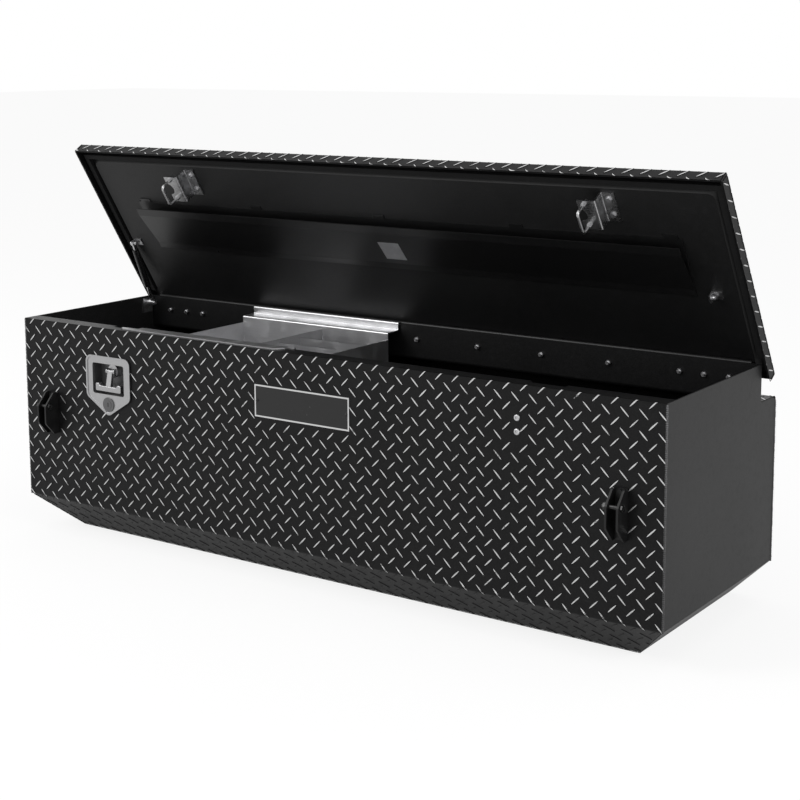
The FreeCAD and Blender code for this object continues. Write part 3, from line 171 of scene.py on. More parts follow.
class Graph:
    """Adds nodes to one node tree."""

    def __init__(self, tree):
        self.tree = tree

    def add(self, kind, settings=None, inputs=None, output=0):
        """One node: its settings first, then the values or links of its sockets."""
        node = self.tree.nodes.new(kind)
        for name, value in (settings or {}).items():
            if name == "stops":
                self.set_stops(node.color_ramp, value)
            else:
                setattr(node, name, value)
        for key, value in (inputs or {}).items():
            self.feed(node.inputs[key], value)
        return Number(self, node.outputs[output]) if len(node.outputs) else node

    def feed(self, socket, value):
        if isinstance(value, Number):
            self.tree.links.new(value.socket, socket)
        else:
            socket.default_value = value

    @staticmethod
    def set_stops(ramp, stops):
        while len(ramp.elements) < len(stops):
            ramp.elements.new(0.5)
        for element, (place, tone) in zip(ramp.elements, stops):
            element.position = place
            element.color = (tone, tone, tone, 1.0)

    def math(self, operation, *terms):
        return self.add("ShaderNodeMath", {"operation": operation}, dict(enumerate(terms)))

    def vector(self, operation, *terms):
        return self.add("ShaderNodeVectorMath", {"operation": operation}, dict(enumerate(terms)))

    def split(self, vector):
        parts = self.add("ShaderNodeSeparateXYZ", inputs={0: vector})
        return parts, parts.output("Y"), parts.output("Z")

    def join(self, x, y, z):
        return self.add("ShaderNodeCombineXYZ", inputs={0: x, 1: y, 2: z})

    def between(self, value, low, high, start=0.0, end=1.0):
        """Value mapped from low..high to start..end, held at both ends."""
        inputs = {"Value": value, "From Min": low, "From Max": high, "To Min": start, "To Max": end}
        return self.add("ShaderNodeMapRange", {"clamp": True}, inputs)

    def noise(self, vector, scale, detail=2.0, roughness=0.5):
        inputs = {"Vector": vector, "Scale": scale, "Detail": detail, "Roughness": roughness}
        return self.add("ShaderNodeTexNoise", inputs=inputs)

    def drawn_out(self, vector, scales, detail):
        """Noise whose scale differs from axis to axis."""
        mapped = self.add("ShaderNodeMapping", inputs={"Vector": vector, "Scale": scales})
        return self.noise(mapped, scale=1.0, detail=detail)

    def blend(self, factor, first, second):
        """Mix of two colours."""
        inputs = {0: factor, 6: first, 7: second}
        return self.add("ShaderNodeMix", {"data_type": "RGBA"}, inputs, output=2)

    def put(self, geometry, place):
        """Geometry with its points moved to a place."""
        inputs = {"Geometry": geometry, "Position": place}
        return self.add("GeometryNodeSetPosition", inputs=inputs)

    def dress(self, geometry, material, selection=True):
        """Geometry with a material on its selected faces."""
        inputs = {"Geometry": geometry, "Selection": selection, "Material": material}
        return self.add("GeometryNodeSetMaterial", inputs=inputs)


def tint(colour, level=1.0):
    return tuple(min(1.0, channel * level) for channel in colour) + (1.0,)


def empty_graph(owner):
    """The node tree of a material or a world, emptied to build on."""
    owner.use_nodes = True
    owner.node_tree.nodes.clear()
    return Graph(owner.node_tree)


def new_material(name):
    material = bpy.data.materials.new(name)
    graph = empty_graph(material)
    place = graph.add("ShaderNodeTexCoord", output="Object")
    return material, graph, place


def finish_surface(graph, colour, roughness, height, depth, metallic=0.0, specular=0.5):
    """Principled surface with a bump, joined to the output."""
    bump = {"Strength": 1.0, "Distance": depth, "Height": height}
    inputs = {
        "Base Color": colour,
        "Roughness": roughness,
        "Metallic": metallic,
        "Specular IOR Level": specular,
        "Normal": graph.add("ShaderNodeBump", inputs=bump),
    }
    surface = graph.add("ShaderNodeBsdfPrincipled", inputs=inputs)
    graph.add("ShaderNodeOutputMaterial", inputs={"Surface": surface})


def powder_coat(name, colour, roughness, specular, peel=1.0, scuffs=0.3):
    """Cured powder coat: orange peel, soft mottling, fine dust and a few rubbed streaks."""
    material, graph, place = new_material(name)
    mottle = graph.noise(place, scale=5.0, detail=3.0)
    specks = graph.noise(place, scale=90.0, detail=6.0, roughness=0.65)
    dust = graph.between(specks, low=0.5, high=0.78)
    peel_wave = graph.noise(place, scale=520.0)
    grain = graph.noise(place, scale=1900.0, detail=1.0)
    marks = graph.drawn_out(place, (30.0, 30.0, 420.0), detail=3.0)
    streaks = graph.between(marks, low=0.66, high=0.74)
    rub = streaks * graph.between(mottle, low=0.45, high=0.62) * scuffs
    stipple = graph.between(graph.noise(place, scale=430.0), low=0.36, high=0.64)
    stipple_share, dust_share = 0.6, 0.22
    shade = mottle * (1.0 - stipple_share) + stipple * stipple_share
    body = graph.blend(shade, tint(colour, 0.55), tint(colour, 1.5))
    dusty = graph.blend(dust * dust_share, body, tint(colour, 3.0))
    rubbed = graph.blend(rub, dusty, tint(colour, 5.0))
    rough = roughness + 0.12 * (mottle - 0.5) + 0.1 * dust
    height = peel_wave * (0.7 * peel) + stipple * (0.8 * peel) + grain * 0.3
    finish_surface(graph, rubbed, rough, height, depth=0.00008, specular=specular)
    return material


def worn_tread_top(name, colour, coat_colour, patch_scale=55.0, fade=None):
    """Coated metal rubbed through to bright metal; where a fade is given, the bright metal fades out lower down.
    """
    material, graph, place = new_material(name)
    patch = graph.noise(place, scale=patch_scale)
    fleck = graph.noise(place, scale=700.0, detail=3.0, roughness=0.6)
    fleck_share = 0.4
    wear = patch * (1.0 - fleck_share) + fleck * fleck_share
    worn = graph.between(wear, low=0.33, high=0.44)
    if fade is not None:
        coated_z, rubbed_z = fade
        uneven_z = graph.split(place)[2] + 0.25 * (patch - 0.5)
        worn = worn * graph.between(uneven_z, low=coated_z, high=rubbed_z)
    brushed = graph.drawn_out(place, (900.0, 900.0, 120.0), detail=2.0)
    metal = graph.blend(brushed, tint(colour, 0.86), tint(colour, 1.12))
    surface = graph.blend(worn, tint(coat_colour, 3.0), metal)
    rough = 0.42 - 0.1 * brushed
    finish_surface(graph, surface, rough, fleck, depth=0.00003, metallic=worn)
    return material


def brushed_metal(name, colour, roughness, along, lines=0.5, smudges=0.4):
    """Metal with a rolled or brushed grain along one axis, and handling smudges."""
    material, graph, place = new_material(name)
    fine, coarse, broader = 1500.0, 25.0, 0.2
    scales = tuple(coarse if axis == along else fine for axis in "XYZ")
    grain = graph.drawn_out(place, scales, detail=3.0)
    broad = graph.drawn_out(place, tuple(s * broader for s in scales), detail=2.0)
    smudge = graph.between(graph.noise(place, scale=28.0, detail=4.0), low=0.45, high=0.72)
    broad_share = 0.4
    lined = grain * (1.0 - broad_share) + broad * broad_share
    dark, light = tint(colour, 1.0 - 0.3 * lines), tint(colour, 1.0 + 0.25 * lines)
    metal = graph.blend(lined, dark, light)
    dulled = graph.blend(smudge * smudges * 0.5, metal, tint(colour, 0.68))
    rough = roughness + 0.1 * (lined - 0.5) + (0.16 * smudges) * smudge
    finish_surface(graph, dulled, rough, grain, depth=0.00003, metallic=1.0)
    return material


def pressed_dish(name, colour, rim_y):
    """Stainless pressing: its own colour on the rim, darkened down in the pan as painted shade and painted dark
    reflection.
    """
    material, graph, place = new_material(name)
    grain = graph.drawn_out(place, (1500.0, 1500.0, 60.0), detail=3.0)
    pan_mottle = graph.noise(place, scale=130.0, detail=5.0, roughness=0.6)
    uneven_y = graph.split(place)[1] + 0.004 * (pan_mottle - 0.5)
    # Painted shade: this mask darkens the steel from just behind the rim back into the pan
    pan_shade_mask = graph.between(uneven_y, low=rim_y - 0.001, high=rim_y + 0.004)
    bright = graph.blend(grain, tint(colour, 0.86), tint(colour, 1.14))
    # Painted shade and painted dark reflection: the pan's steel at a fifth to a half of its colour
    painted_pan_shade = graph.blend(pan_mottle, tint(colour, 0.2), tint(colour, 0.5))
    rough = 0.27 + 0.1 * pan_mottle + 0.2 * pan_shade_mask
    metal = graph.blend(pan_shade_mask, bright, painted_pan_shade)
    finish_surface(graph, metal, rough, grain, depth=0.00003, metallic=1.0)
    return material


def zinc_plate(name, colour, roughness):
    """Bright zinc with a faint crystalline patchwork."""
    material, graph, place = new_material(name)
    cell_inputs = {"Vector": place, "Scale": 260.0}
    cells = graph.add("ShaderNodeTexVoronoi", inputs=cell_inputs, output="Color")
    shade = graph.split(cells)[0]
    haze = graph.noise(place, scale=160.0, detail=4.0)
    cloud_share = 0.4
    clouds = graph.between(haze, low=0.5, high=0.8) * cloud_share
    metal = graph.blend(shade, tint(colour, 0.82), tint(colour, 1.1))
    clouded = graph.blend(clouds, metal, tint(colour, 0.6))
    rough = roughness + 0.14 * haze
    finish_surface(graph, clouded, rough, haze, depth=0.00004, metallic=1.0)
    return material


def bright_plate(name, colour, roughness):
    """Polished plating with faint wipe marks."""
    material, graph, place = new_material(name)
    wipe = graph.drawn_out(place, (60.0, 60.0, 500.0), detail=3.0)
    spot = graph.between(graph.noise(place, scale=240.0, detail=3.0), low=0.55, high=0.75)
    metal = graph.blend(wipe, tint(colour, 0.9), tint(colour, 1.06))
    rough = roughness + 0.08 * wipe + 0.1 * spot
    finish_surface(graph, metal, rough, wipe, depth=0.00001, metallic=1.0)
    return material


def moulded_rubber(name, colour, roughness):
    """Matte rubber with fine pores and a little bloom."""
    material, graph, place = new_material(name)
    pores = graph.noise(place, scale=1100.0, detail=3.0, roughness=0.6)
    bloom = graph.noise(place, scale=35.0, detail=4.0)
    body = graph.blend(bloom, tint(colour, 0.75), tint(colour, 1.5))
    rough = roughness + 0.15 * (pores - 0.5)
    finish_surface(graph, body, rough, pores, depth=0.00015, specular=0.25)
    return material


def blank_nameplate(name, metal_colour, field_colour, plate_box, border):
    """Silver border around a bare black field."""
    material, graph, place = new_material(name)
    low, high = plate_box
    middle = ((low[0] + high[0]) / 2, 0.0, (low[2] + high[2]) / 2)
    centred = graph.vector("SUBTRACT", place, middle)
    x, _, z = graph.split(centred)
    over_x = graph.math("ABSOLUTE", x) - ((high[0] - low[0]) / 2 - border)
    over_z = graph.math("ABSOLUTE", z) - ((high[2] - low[2]) / 2 - border)
    soft_edge = 0.0002
    over = graph.math("MAXIMUM", over_x, over_z)
    outside = graph.between(over, low=-soft_edge, high=soft_edge)
    line = graph.drawn_out(place, (40.0, 1500.0, 1500.0), detail=2.0)
    wear = graph.noise(place, scale=140.0, detail=5.0, roughness=0.6)
    scratch_share = 0.35
    scratches = graph.between(wear, low=0.7, high=0.76) * scratch_share
    silver = graph.blend(line, tint(metal_colour, 0.85), tint(metal_colour, 1.1))
    paint = graph.blend(wear, tint(field_colour, 0.35), tint(field_colour, 0.9))
    scratched = graph.blend(scratches, paint, tint(metal_colour, 0.5))
    rough = 0.34 + 0.12 * wear - 0.04 * outside
    colour = graph.blend(outside, scratched, silver)
    finish_surface(graph, colour, rough, wear, depth=0.00004, metallic=outside)
    return material


def blank_foil(name, colour):
    """Plain foil with soft creases."""
    material, graph, place = new_material(name)
    crease = graph.noise(place, scale=180.0, detail=4.0, roughness=0.55)
    broad = graph.noise(place, scale=60.0)
    metal = graph.blend(broad, tint(colour, 0.72), tint(colour, 1.1))
    rough = 0.26 + 0.2 * crease
    finish_surface(graph, metal, rough, crease, depth=0.0004, metallic=1.0)
    return material


def mesh_object(name, points, edges):
    mesh = bpy.data.meshes.new(name)
    mesh.from_pydata(points, edges, [])
    piece = bpy.data.objects.new(name, mesh)
    bpy.context.scene.collection.objects.link(piece)
    return piece


def grow_nodes(piece, tree, values):
    """Run a node tree on a piece, keep the plain mesh and take the modifier off."""
    modifier = piece.modifiers.new("grow", "NODES")
    modifier.node_group = tree
    for item in tree.interface.items_tree:
        if item.item_type == "SOCKET" and item.in_out == "INPUT" and item.name in values:
            modifier[item.identifier] = values[item.name]
    evaluated = piece.evaluated_get(bpy.context.evaluated_depsgraph_get())
    mesh = bpy.data.meshes.new_from_object(evaluated)
    piece.modifiers.clear()
    spare = piece.data
    piece.data = mesh
    mesh.name = piece.name
    bpy.data.meshes.remove(spare)


def start_tree(name, sockets):
    """Geometry tree with named inputs, and the graph and input sockets to build on."""
    tree = bpy.data.node_groups.new(name, "GeometryNodeTree")
    tree.is_modifier = True
    tree.interface.new_socket("Geometry", in_out="INPUT", socket_type="NodeSocketGeometry")
    for socket_name, kind in sockets:
        tree.interface.new_socket(socket_name, in_out="INPUT", socket_type="NodeSocket" + kind)
    tree.interface.new_socket("Geometry", in_out="OUTPUT", socket_type="NodeSocketGeometry")
    graph = Graph(tree)
    start = graph.add("NodeGroupInput")
    given = {"Geometry": start}
    for socket_name, _ in sockets:
        given[socket_name] = start.output(socket_name)
    return tree, graph, given


def end_tree(graph, geometry):
    graph.add("NodeGroupOutput", inputs={0: geometry})


def tread_tree():
    """Rows of crossed lugs laid flat, cut at the sheet's ends and wrapped over a bent profile."""
    lengths = ("Start", "End", "Pitch along", "Pitch across", "First along", "First across")
    lug_sizes = ("Lug length", "Lug width", "Lug height", "Top length share", "Top width share")
    sockets = [(name, "Float") for name in lengths + lug_sizes]
    sockets += [("Sides", "Int"), ("Seed", "Int"), ("Coat", "Material"), ("Worn top", "Material")]
    tree, graph, given = start_tree("tread_lugs", sockets)
    profile = graph.add("GeometryNodeMeshToCurve", inputs={0: given["Geometry"]})
    reach = graph.add("GeometryNodeCurveLength", inputs={0: profile})

    columns = graph.math("CEIL", (given["End"] - given["Start"]) / given["Pitch along"]) + 2.0
    rows = graph.math("CEIL", reach / given["Pitch across"]) + 2.0
    points = graph.add("GeometryNodePoints", inputs={"Count": columns * rows * 2.0})
    index = graph.add("GeometryNodeInputIndex")
    crossed = graph.math("MODULO", index, 2.0)
    pair = graph.math("FLOOR", index / 2.0)
    row = graph.math("FLOOR", pair / columns)
    column = pair - row * columns
    pitches_along = column - 1.0 + crossed * 0.5
    pitches_down = row - 1.0 + crossed * 0.5
    x = given["Start"] + given["First along"] + pitches_along * given["Pitch along"]
    down = given["First across"] + pitches_down * given["Pitch across"]
    points = graph.put(points, graph.join(x, -down, 0.0))

    form = graph.add(
        "GeometryNodeMeshCylinder",
        {"fill_type": "NGON"},
        {"Vertices": given["Sides"], "Side Segments": 1, "Radius": 0.5, "Depth": 1.0},
    )
    u, v, w = graph.split(graph.add("GeometryNodeInputPosition"))
    raised = graph.math("GREATER_THAN", w, 0.0)
    narrow = 1.0 - LUG_NARROWING * u * u
    form_x = u * given["Lug length"] * (1.0 - raised * (1.0 - given["Top length share"]))
    form_y = v * narrow * given["Lug width"] * (1.0 - raised * (1.0 - given["Top width share"]))
    form_z = given["Lug height"] * (raised * (1.0 + LUG_SINK) - LUG_SINK)
    lug = graph.put(form, graph.join(form_x, form_y, form_z))

    turn = (1.0 - 2.0 * crossed) * (math.pi / 4)
    size = graph.add(
        "FunctionNodeRandomValue",
        {"data_type": "FLOAT_VECTOR"},
        {0: LUG_SIZES[0], 1: LUG_SIZES[1], "Seed": given["Seed"]},
    )
    placed = graph.add(
        "GeometryNodeInstanceOnPoints",
        inputs={
            "Points": points,
            "Instance": lug,
            "Rotation": graph.join(0.0, 0.0, turn),
            "Scale": size,
        },
    )
    real = graph.add("GeometryNodeRealizeInstances", inputs={0: placed})

    px, py, pz = graph.split(graph.add("GeometryNodeInputPosition"))
    kept_x = graph.math("MINIMUM", graph.math("MAXIMUM", px, given["Start"]), given["End"])
    along = graph.math("MINIMUM", graph.math("MAXIMUM", -py, 0.0), reach)
    spot = graph.add(
        "GeometryNodeSampleCurve",
        {"mode": "LENGTH"},
        {"Curves": profile, "Length": along},
        output="Position",
    )
    square = graph.vector("CROSS_PRODUCT", spot.output("Tangent"), (1.0, 0.0, 0.0))
    outward = graph.vector("NORMALIZE", square)
    lifted = graph.add("ShaderNodeVectorMath", {"operation": "SCALE"}, {0: outward, "Scale": pz})
    level = graph.vector("ADD", spot, graph.join(kept_x, 0.0, 0.0))
    bent = graph.put(real, graph.vector("ADD", level, lifted))
    merging = {"Geometry": bent, "Distance": LUG_DOUBLES}
    merged = graph.add("GeometryNodeMergeByDistance", inputs=merging)
    coated = graph.dress(merged, given["Coat"])
    end_tree(graph, graph.dress(coated, given["Worn top"], selection=form.output("Top")))
    return tree


def weld_tree():
    """Overlapping ripples of a weld bead along a path."""
    sockets = [
        ("Ripple pitch", "Float"),
        ("Bead width", "Float"),
        ("Seed", "Int"),
        ("Metal", "Material"),
    ]
    tree, graph, given = start_tree("weld_bead", sockets)
    path = graph.add("GeometryNodeMeshToCurve", inputs={0: given["Geometry"]})
    steps = graph.add(
        "GeometryNodeCurveToPoints",
        {"mode": "LENGTH"},
        {"Curve": path, "Length": given["Ripple pitch"]},
    )
    drop = graph.add("GeometryNodeMeshIcoSphere", inputs={"Radius": 0.5, "Subdivisions": 2})
    size = graph.add(
        "FunctionNodeRandomValue",
        {"data_type": "FLOAT"},
        {2: RIPPLE_SIZES[0], 3: RIPPLE_SIZES[1], "Seed": given["Seed"]},
        output=1,
    )
    across = given["Bead width"] * size
    placed = graph.add(
        "GeometryNodeInstanceOnPoints",
        inputs={
            "Points": steps,
            "Instance": drop,
            "Rotation": steps.output("Rotation"),
            "Scale": graph.join(across, across, given["Ripple pitch"] * RIPPLE_OVERLAP),
        },
    )
    real = graph.add("GeometryNodeRealizeInstances", inputs={0: placed})
    smooth = graph.add("GeometryNodeSetShadeSmooth", inputs={"Geometry": real})
    end_tree(graph, graph.dress(smooth, given["Metal"]))
    return tree


def rounded_path(corners, radii):
    """Points along a bent line, dense in its bends and evenly spaced along its flats."""
    corners = [Vector(c) for c in corners]
    stations = [corners[0]]
    for before, corner, after, radius in zip(corners, corners[1:], corners[2:], radii):
        inward = (before - corner).normalized()
        onward = (after - corner).normalized()
        half_angle = inward.angle(onward) / 2
        reach = radius / math.tan(half_angle)
        centre = corner + (inward + onward).normalized() * (radius / math.sin(half_angle))
        start = corner + inward * reach - centre
        end = corner + onward * reach - centre
        sweep = start.angle(end)
        for k in range(BEND_PARTS + 1):
            share = k / BEND_PARTS
            arm = start * math.sin((1 - share) * sweep) + end * math.sin(share * sweep)
            stations.append(centre + arm / math.sin(sweep))
    stations.append(corners[-1])
    points = [stations[0]]
    for a, b in zip(stations, stations[1:]):
        length = (b - a).length
        if length < SAME_PLACE:
            continue
        if length > SHORT_RUN:
            cuts = max(1, int(length / FLAT_STEP))
            near = min(BEND_MARGIN / length, LARGEST_MARGIN)
            shares = [near] + [k / cuts for k in range(1, cuts)] + [1 - near, 1.0]
        else:
            shares = [1.0]
        points += [a.lerp(b, share) for share in shares]
    return points


def drop_covered(mesh, zones):
    """Remove the slivers, and the lugs whose middle lies in one of the zones."""
    work = bmesh.new()
    work.from_mesh(mesh)
    seen, covered = set(), []
    for first in work.verts:
        if first.index in seen:
            continue
        seen.add(first.index)
        island, edge_of = [first], [first]
        while edge_of:
            vert = edge_of.pop()
            for edge in vert.link_edges:
                other = edge.other_vert(vert)
                if other.index not in seen:
                    seen.add(other.index)
                    island.append(other)
                    edge_of.append(other)
        middle = sum((v.co for v in island), Vector()) / len(island)
        size = max((v.co - middle).length for v in island)
        sliver = size < SMALLEST_LUG or len(island) < FEWEST_POINTS
        hidden = any(
            all(low[k] <= middle[k] <= high[k] for k in range(3)) for low, high in zones
        )
        if sliver or hidden:
            covered += island
    bmesh.ops.delete(work, geom=covered, context="VERTS")
    work.to_mesh(mesh)
    work.free()


def grown_box(node, margin):
    """A node's box, grown by a margin over the sheet and opened through it."""
    low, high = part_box(node)
    grow = (margin, THROUGH_SHEET, margin)
    return [a - g for a, g in zip(low, grow)], [b + g for b, g in zip(high, grow)]


def trim_to_taper(mesh, reach):
    """Pull the lugs below the foot's fold back to the box's tapered ends."""
    for vert in mesh.vertices:
        if vert.co.z < FOOT_FOLD_Z:
            room = reach - (FOOT_FOLD_Z - vert.co.z) * END_TAPER
            vert.co.x = max(-room, min(room, vert.co.x))


def keep_coat(mesh):
    """Lug tops below the foot's fold are given the coat instead of bare metal."""
    coat = mesh.materials.find("tread_coat")
    for face in mesh.polygons:
        if face.center.z < FOOT_FOLD_Z:
            face.material_index = coat


def closed_to_open(mesh):
    """Swing a mesh drawn on the shut lid up to the open stop."""
    turn = Matrix.Rotation(-LID_TURN, 4, "X")
    mesh.transform(Matrix.Translation(HINGE) @ turn @ Matrix.Translation(-HINGE))


def material_named(name):
    material = bpy.data.materials.get(name)
    if material is None:
        raise RuntimeError(f"make the finishes before this piece: {name} is missing")
    return material


def length_setting(name, description, default):
    return FloatProperty(
        name=name, description=description, default=default, precision=5, unit="LENGTH"
    )


def share_setting(name, description, default, least=0.0):
    return FloatProperty(
        name=name, description=description, default=default, subtype="FACTOR", min=least, max=1.0
    )


def angle_setting(name, description, degrees):
    return FloatProperty(
        name=name, description=description, default=math.radians(degrees), subtype="ANGLE"
    )


def colour_setting(name, description, default):
    return FloatVectorProperty(
        name=name, description=description, default=default, subtype="COLOR", min=0.0, max=1.0
    )


class TreadSizes(bpy.types.PropertyGroup):
    pitch_along: length_setting("Pitch along", "Spacing of like lugs along the box", 0.03517)
    pitch_across: length_setting("Pitch across", "Spacing of like lugs down the sheet", 0.03621)
    first_along: length_setting("First lug", "Place of the first lug from the left end", 0.02251)
    first_below_rim: length_setting(
        "First row", "Place of the first row below the rim", 0.00457
    )
    lug_length: length_setting("Lug length", "Length of a lug at its foot", 0.0262)
    lug_width: length_setting("Lug width", "Width of a lug at its foot", 0.0056)
    lug_height: length_setting("Lug height", "Rise of a lug over the sheet", 0.00095)
    top_length_share: share_setting(
        "Top length", "Length of the worn top as a share of the foot", 0.88, least=0.1
    )
    top_width_share: share_setting(
        "Top width", "Width of the worn top as a share of the foot", 0.44, least=0.1
    )
    sides: IntProperty(
        name="Sides", description="Sides of each lug's outline", default=12, min=8, max=24
    )
    seed: IntProperty(
        name="Seed", description="Seed of the small differences between lugs", default=7
    )


class WeldSizes(bpy.types.PropertyGroup):
    ripple_pitch: length_setting(
        "Ripple pitch", "Spacing of the ripples in a weld bead", 0.0036
    )
    bead_width: length_setting("Bead width", "Width of a weld bead", 0.0044)
    seed: IntProperty(name="Seed", description="Seed of the bead's unevenness", default=3)


class FinishColours(bpy.types.PropertyGroup):
    coat: colour_setting("Coat", "Powder coat on the tread plate", (0.0068, 0.0068, 0.007))
    end_coat: colour_setting(
        "End coat", "Powder coat on the smooth end panels", (0.0125, 0.0125, 0.0127)
    )
    inner_coat: colour_setting(
        "Inner coat", "Powder coat on the inner sheets and lid liner", (0.0075, 0.0075, 0.0077)
    )
    bare_metal: colour_setting("Bare metal", "Metal on the worn lug tops", (0.74, 0.74, 0.74))
    stainless: colour_setting(
        "Stainless", "Latch dish, handle and strikers", (0.46, 0.46, 0.465)
    )
    key_steel: colour_setting("Key steel", "Key plug and lock body", (0.16, 0.16, 0.163))
    zinc: colour_setting("Zinc", "Bolts, nuts and latch works", (0.6, 0.6, 0.61))
    aluminium: colour_setting("Aluminium", "Mill finish of the tray", (0.66, 0.66, 0.67))


class StageSettings(bpy.types.PropertyGroup):
    floor_glow: share_setting(
        "Floor glow", "Share of the floor's white that no shadow darkens", 0.7
    )
    floor_white: FloatProperty(
        name="Floor white", description="Brightness of the floor's own white", default=1.2, min=0.0
    )
    floor_grey: share_setting("Floor grey", "Tone of the floor under the lamps", 0.62)
    sky_level: FloatProperty(
        name="Sky level", description="Light from all round", default=0.62, min=0.0
    )
    key_power: FloatProperty(
        name="Key power",
        description="Power of the large lamp at the front left",
        default=90.0,
        unit="POWER",
    )
    side_power: FloatProperty(
        name="Side power",
        description="Power of the lamp at the right end",
        default=45.0,
        unit="POWER",
    )
    camera_place: FloatVectorProperty(
        name="Camera place",
        description="Where the camera stands",
        default=(1.863, -2.5495, 1.041),
        subtype="TRANSLATION",
        unit="LENGTH",
    )
    camera_yaw: angle_setting("Yaw", "Turn of the view to the left", 34.96)
    camera_pitch: angle_setting("Pitch", "Tilt of the view downwards", 8.22)
    camera_roll: angle_setting("Roll", "Roll of the camera", -0.22)
    lens: FloatProperty(
        name="Lens",
        description="Focal length on a 36 mm sensor, in millimetres",
        default=71.82,
    )
    shift_up: FloatProperty(name="Shift", description="Vertical lens shift", default=-0.15)


class TOOL_BOX_OT_finishes(bpy.types.Operator):
    """Make every finish and put it on the parts of its material slot"""

    bl_idname = "tool_box.finishes"
    bl_label = "Finishes"

    def execute(self, context):
        colours = context.scene.tool_box_colours
        coat, end, inner = colours.coat, colours.end_coat, colours.inner_coat
        steel, bare, mill = colours.stainless, colours.bare_metal, colours.aluminium
        finishes = {
            "tread_sheet": powder_coat("tread_coat", coat, roughness=0.42, specular=0.17),
            "lid_sheet": powder_coat("lid_coat", coat, roughness=0.42, specular=0.17),
            "end_sheet": powder_coat(
                "end_coat", end, roughness=0.4, specular=0.22, peel=0.6, scuffs=0.15
            ),
            "inner_sheet": powder_coat(
                "inner_coat", inner, roughness=0.42, specular=0.3, peel=0.7
            ),
            "liner_paint": powder_coat(
                "liner_coat", inner, roughness=0.46, specular=0.36, peel=0.5, scuffs=0.2
            ),
            "bracket_paint": powder_coat(
                "bracket_coat", coat, roughness=0.36, specular=0.35, peel=0.5
            ),
            "spring_black": powder_coat(
                "spring_enamel", inner, roughness=0.22, specular=0.5, peel=0.2, scuffs=0.1
            ),
            "seal_rubber": moulded_rubber("seal_rubber", inner, roughness=0.8),
            "gasket_rubber": moulded_rubber("gasket_rubber", inner, roughness=0.7),
            "hinge_steel": powder_coat("hinge_coat", end, roughness=0.36, specular=0.3, peel=0.4),
            "stainless": brushed_metal(
                "stainless", steel, roughness=0.27, along="X", lines=0.35, smudges=0.3
            ),
            "tray_aluminium": brushed_metal(
                "tray_aluminium", mill, roughness=0.34, along="X", lines=0.5, smudges=0.7
            ),
            "zinc": zinc_plate("zinc_plate", colours.zinc, roughness=0.26),
            "chrome": bright_plate("bright_plate", bare, roughness=0.08),
            "name_aluminium": blank_nameplate(
                "nameplate_finish", bare, coat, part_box("nameplate"), PLATE_BORDER
            ),
            "label_foil": blank_foil("label_foil", mill),
        }
        dish_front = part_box("latch_dish")[0][1]
        key = colours.key_steel
        own_finishes = {
            # The dish's pan gets painted shade from its rim inward
            "latch_dish": pressed_dish("dish_steel", steel, dish_front + DISH_RIM),
            "lid_pocket": powder_coat(
                "pocket_coat", inner, roughness=0.3, specular=0.5, peel=0.4, scuffs=0.2
            ),
            "tie_bolts": finishes["spring_black"],
            "tie_screws": finishes["bracket_paint"],
            "key_plug": brushed_metal("key_steel", key, roughness=0.34, along="X"),
            "lock_barrel": brushed_metal("lock_steel", key, roughness=0.34, along="Y"),
        }
        worn_tread_top("worn_tread_top", bare, coat)
        worn_tread_top("weld_metal", key, end, patch_scale=240.0, fade=WELD_FADE)
        for node, piece in frame["nodes"].items():
            finish = own_finishes.get(node) or finishes[SLOT_OF[node]]
            if piece.material_slots:
                for slot in piece.material_slots:
                    slot.material = finish
            else:
                piece.data.materials.append(finish)
        return {"FINISHED"}


def lay_tread(context, name, corners, radii, span, first, coat, zones=()):
    """One field of lugs wrapped over a bent profile, as a plain mesh without covered lugs."""
    points = rounded_path(corners, radii)
    edges = [(k, k + 1) for k in range(len(points) - 1)]
    piece = mesh_object(name, [tuple(p) for p in points], edges)
    sizes = context.scene.tool_box_tread
    values = {
        "Start": span[0],
        "End": span[1],
        "Pitch along": sizes.pitch_along,
        "Pitch across": sizes.pitch_across,
        "First along": first[0],
        "First across": first[1],
        "Lug length": sizes.lug_length,
        "Lug width": sizes.lug_width,
        "Lug height": sizes.lug_height,
        "Top length share": sizes.top_length_share,
        "Top width share": sizes.top_width_share,
        "Sides": sizes.sides,
        "Seed": sizes.seed,
        "Coat": material_named(coat),
        "Worn top": material_named("worn_tread_top"),
    }
    grow_nodes(piece, bpy.data.node_groups.get("tread_lugs") or tread_tree(), values)
    drop_covered(piece.data, zones)
    return piece


class TOOL_BOX_OT_front_tread(bpy.types.Operator):
    """Lay the raised lugs over the front and the tapered foot, from the rim down"""

    bl_idname = "tool_box.front_tread"
    bl_label = "Front tread"

    def execute(self, context):
        sizes = context.scene.tool_box_tread
        low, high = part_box("front_panel")
        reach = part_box("right_end_panel")[1][0]
        corners = [
            (0.0, low[1], high[2]),
            (0.0, low[1], FOOT_FOLD_Z),
            (0.0, low[1] + FOOT_RUN, low[2]),
        ]
        first = (sizes.first_along, sizes.first_below_rim)
        zones = [grown_box(node, margin) for node, margin in KEEP_OFF.items()]
        piece = lay_tread(
            context,
            "tread_lugs_front",
            corners,
            (FOOT_BEND,),
            (-reach, reach),
            first,
            "tread_coat",
            zones,
        )
        trim_to_taper(piece.data, reach)
        keep_coat(piece.data)
        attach(piece, "box")
        return {"FINISHED"}


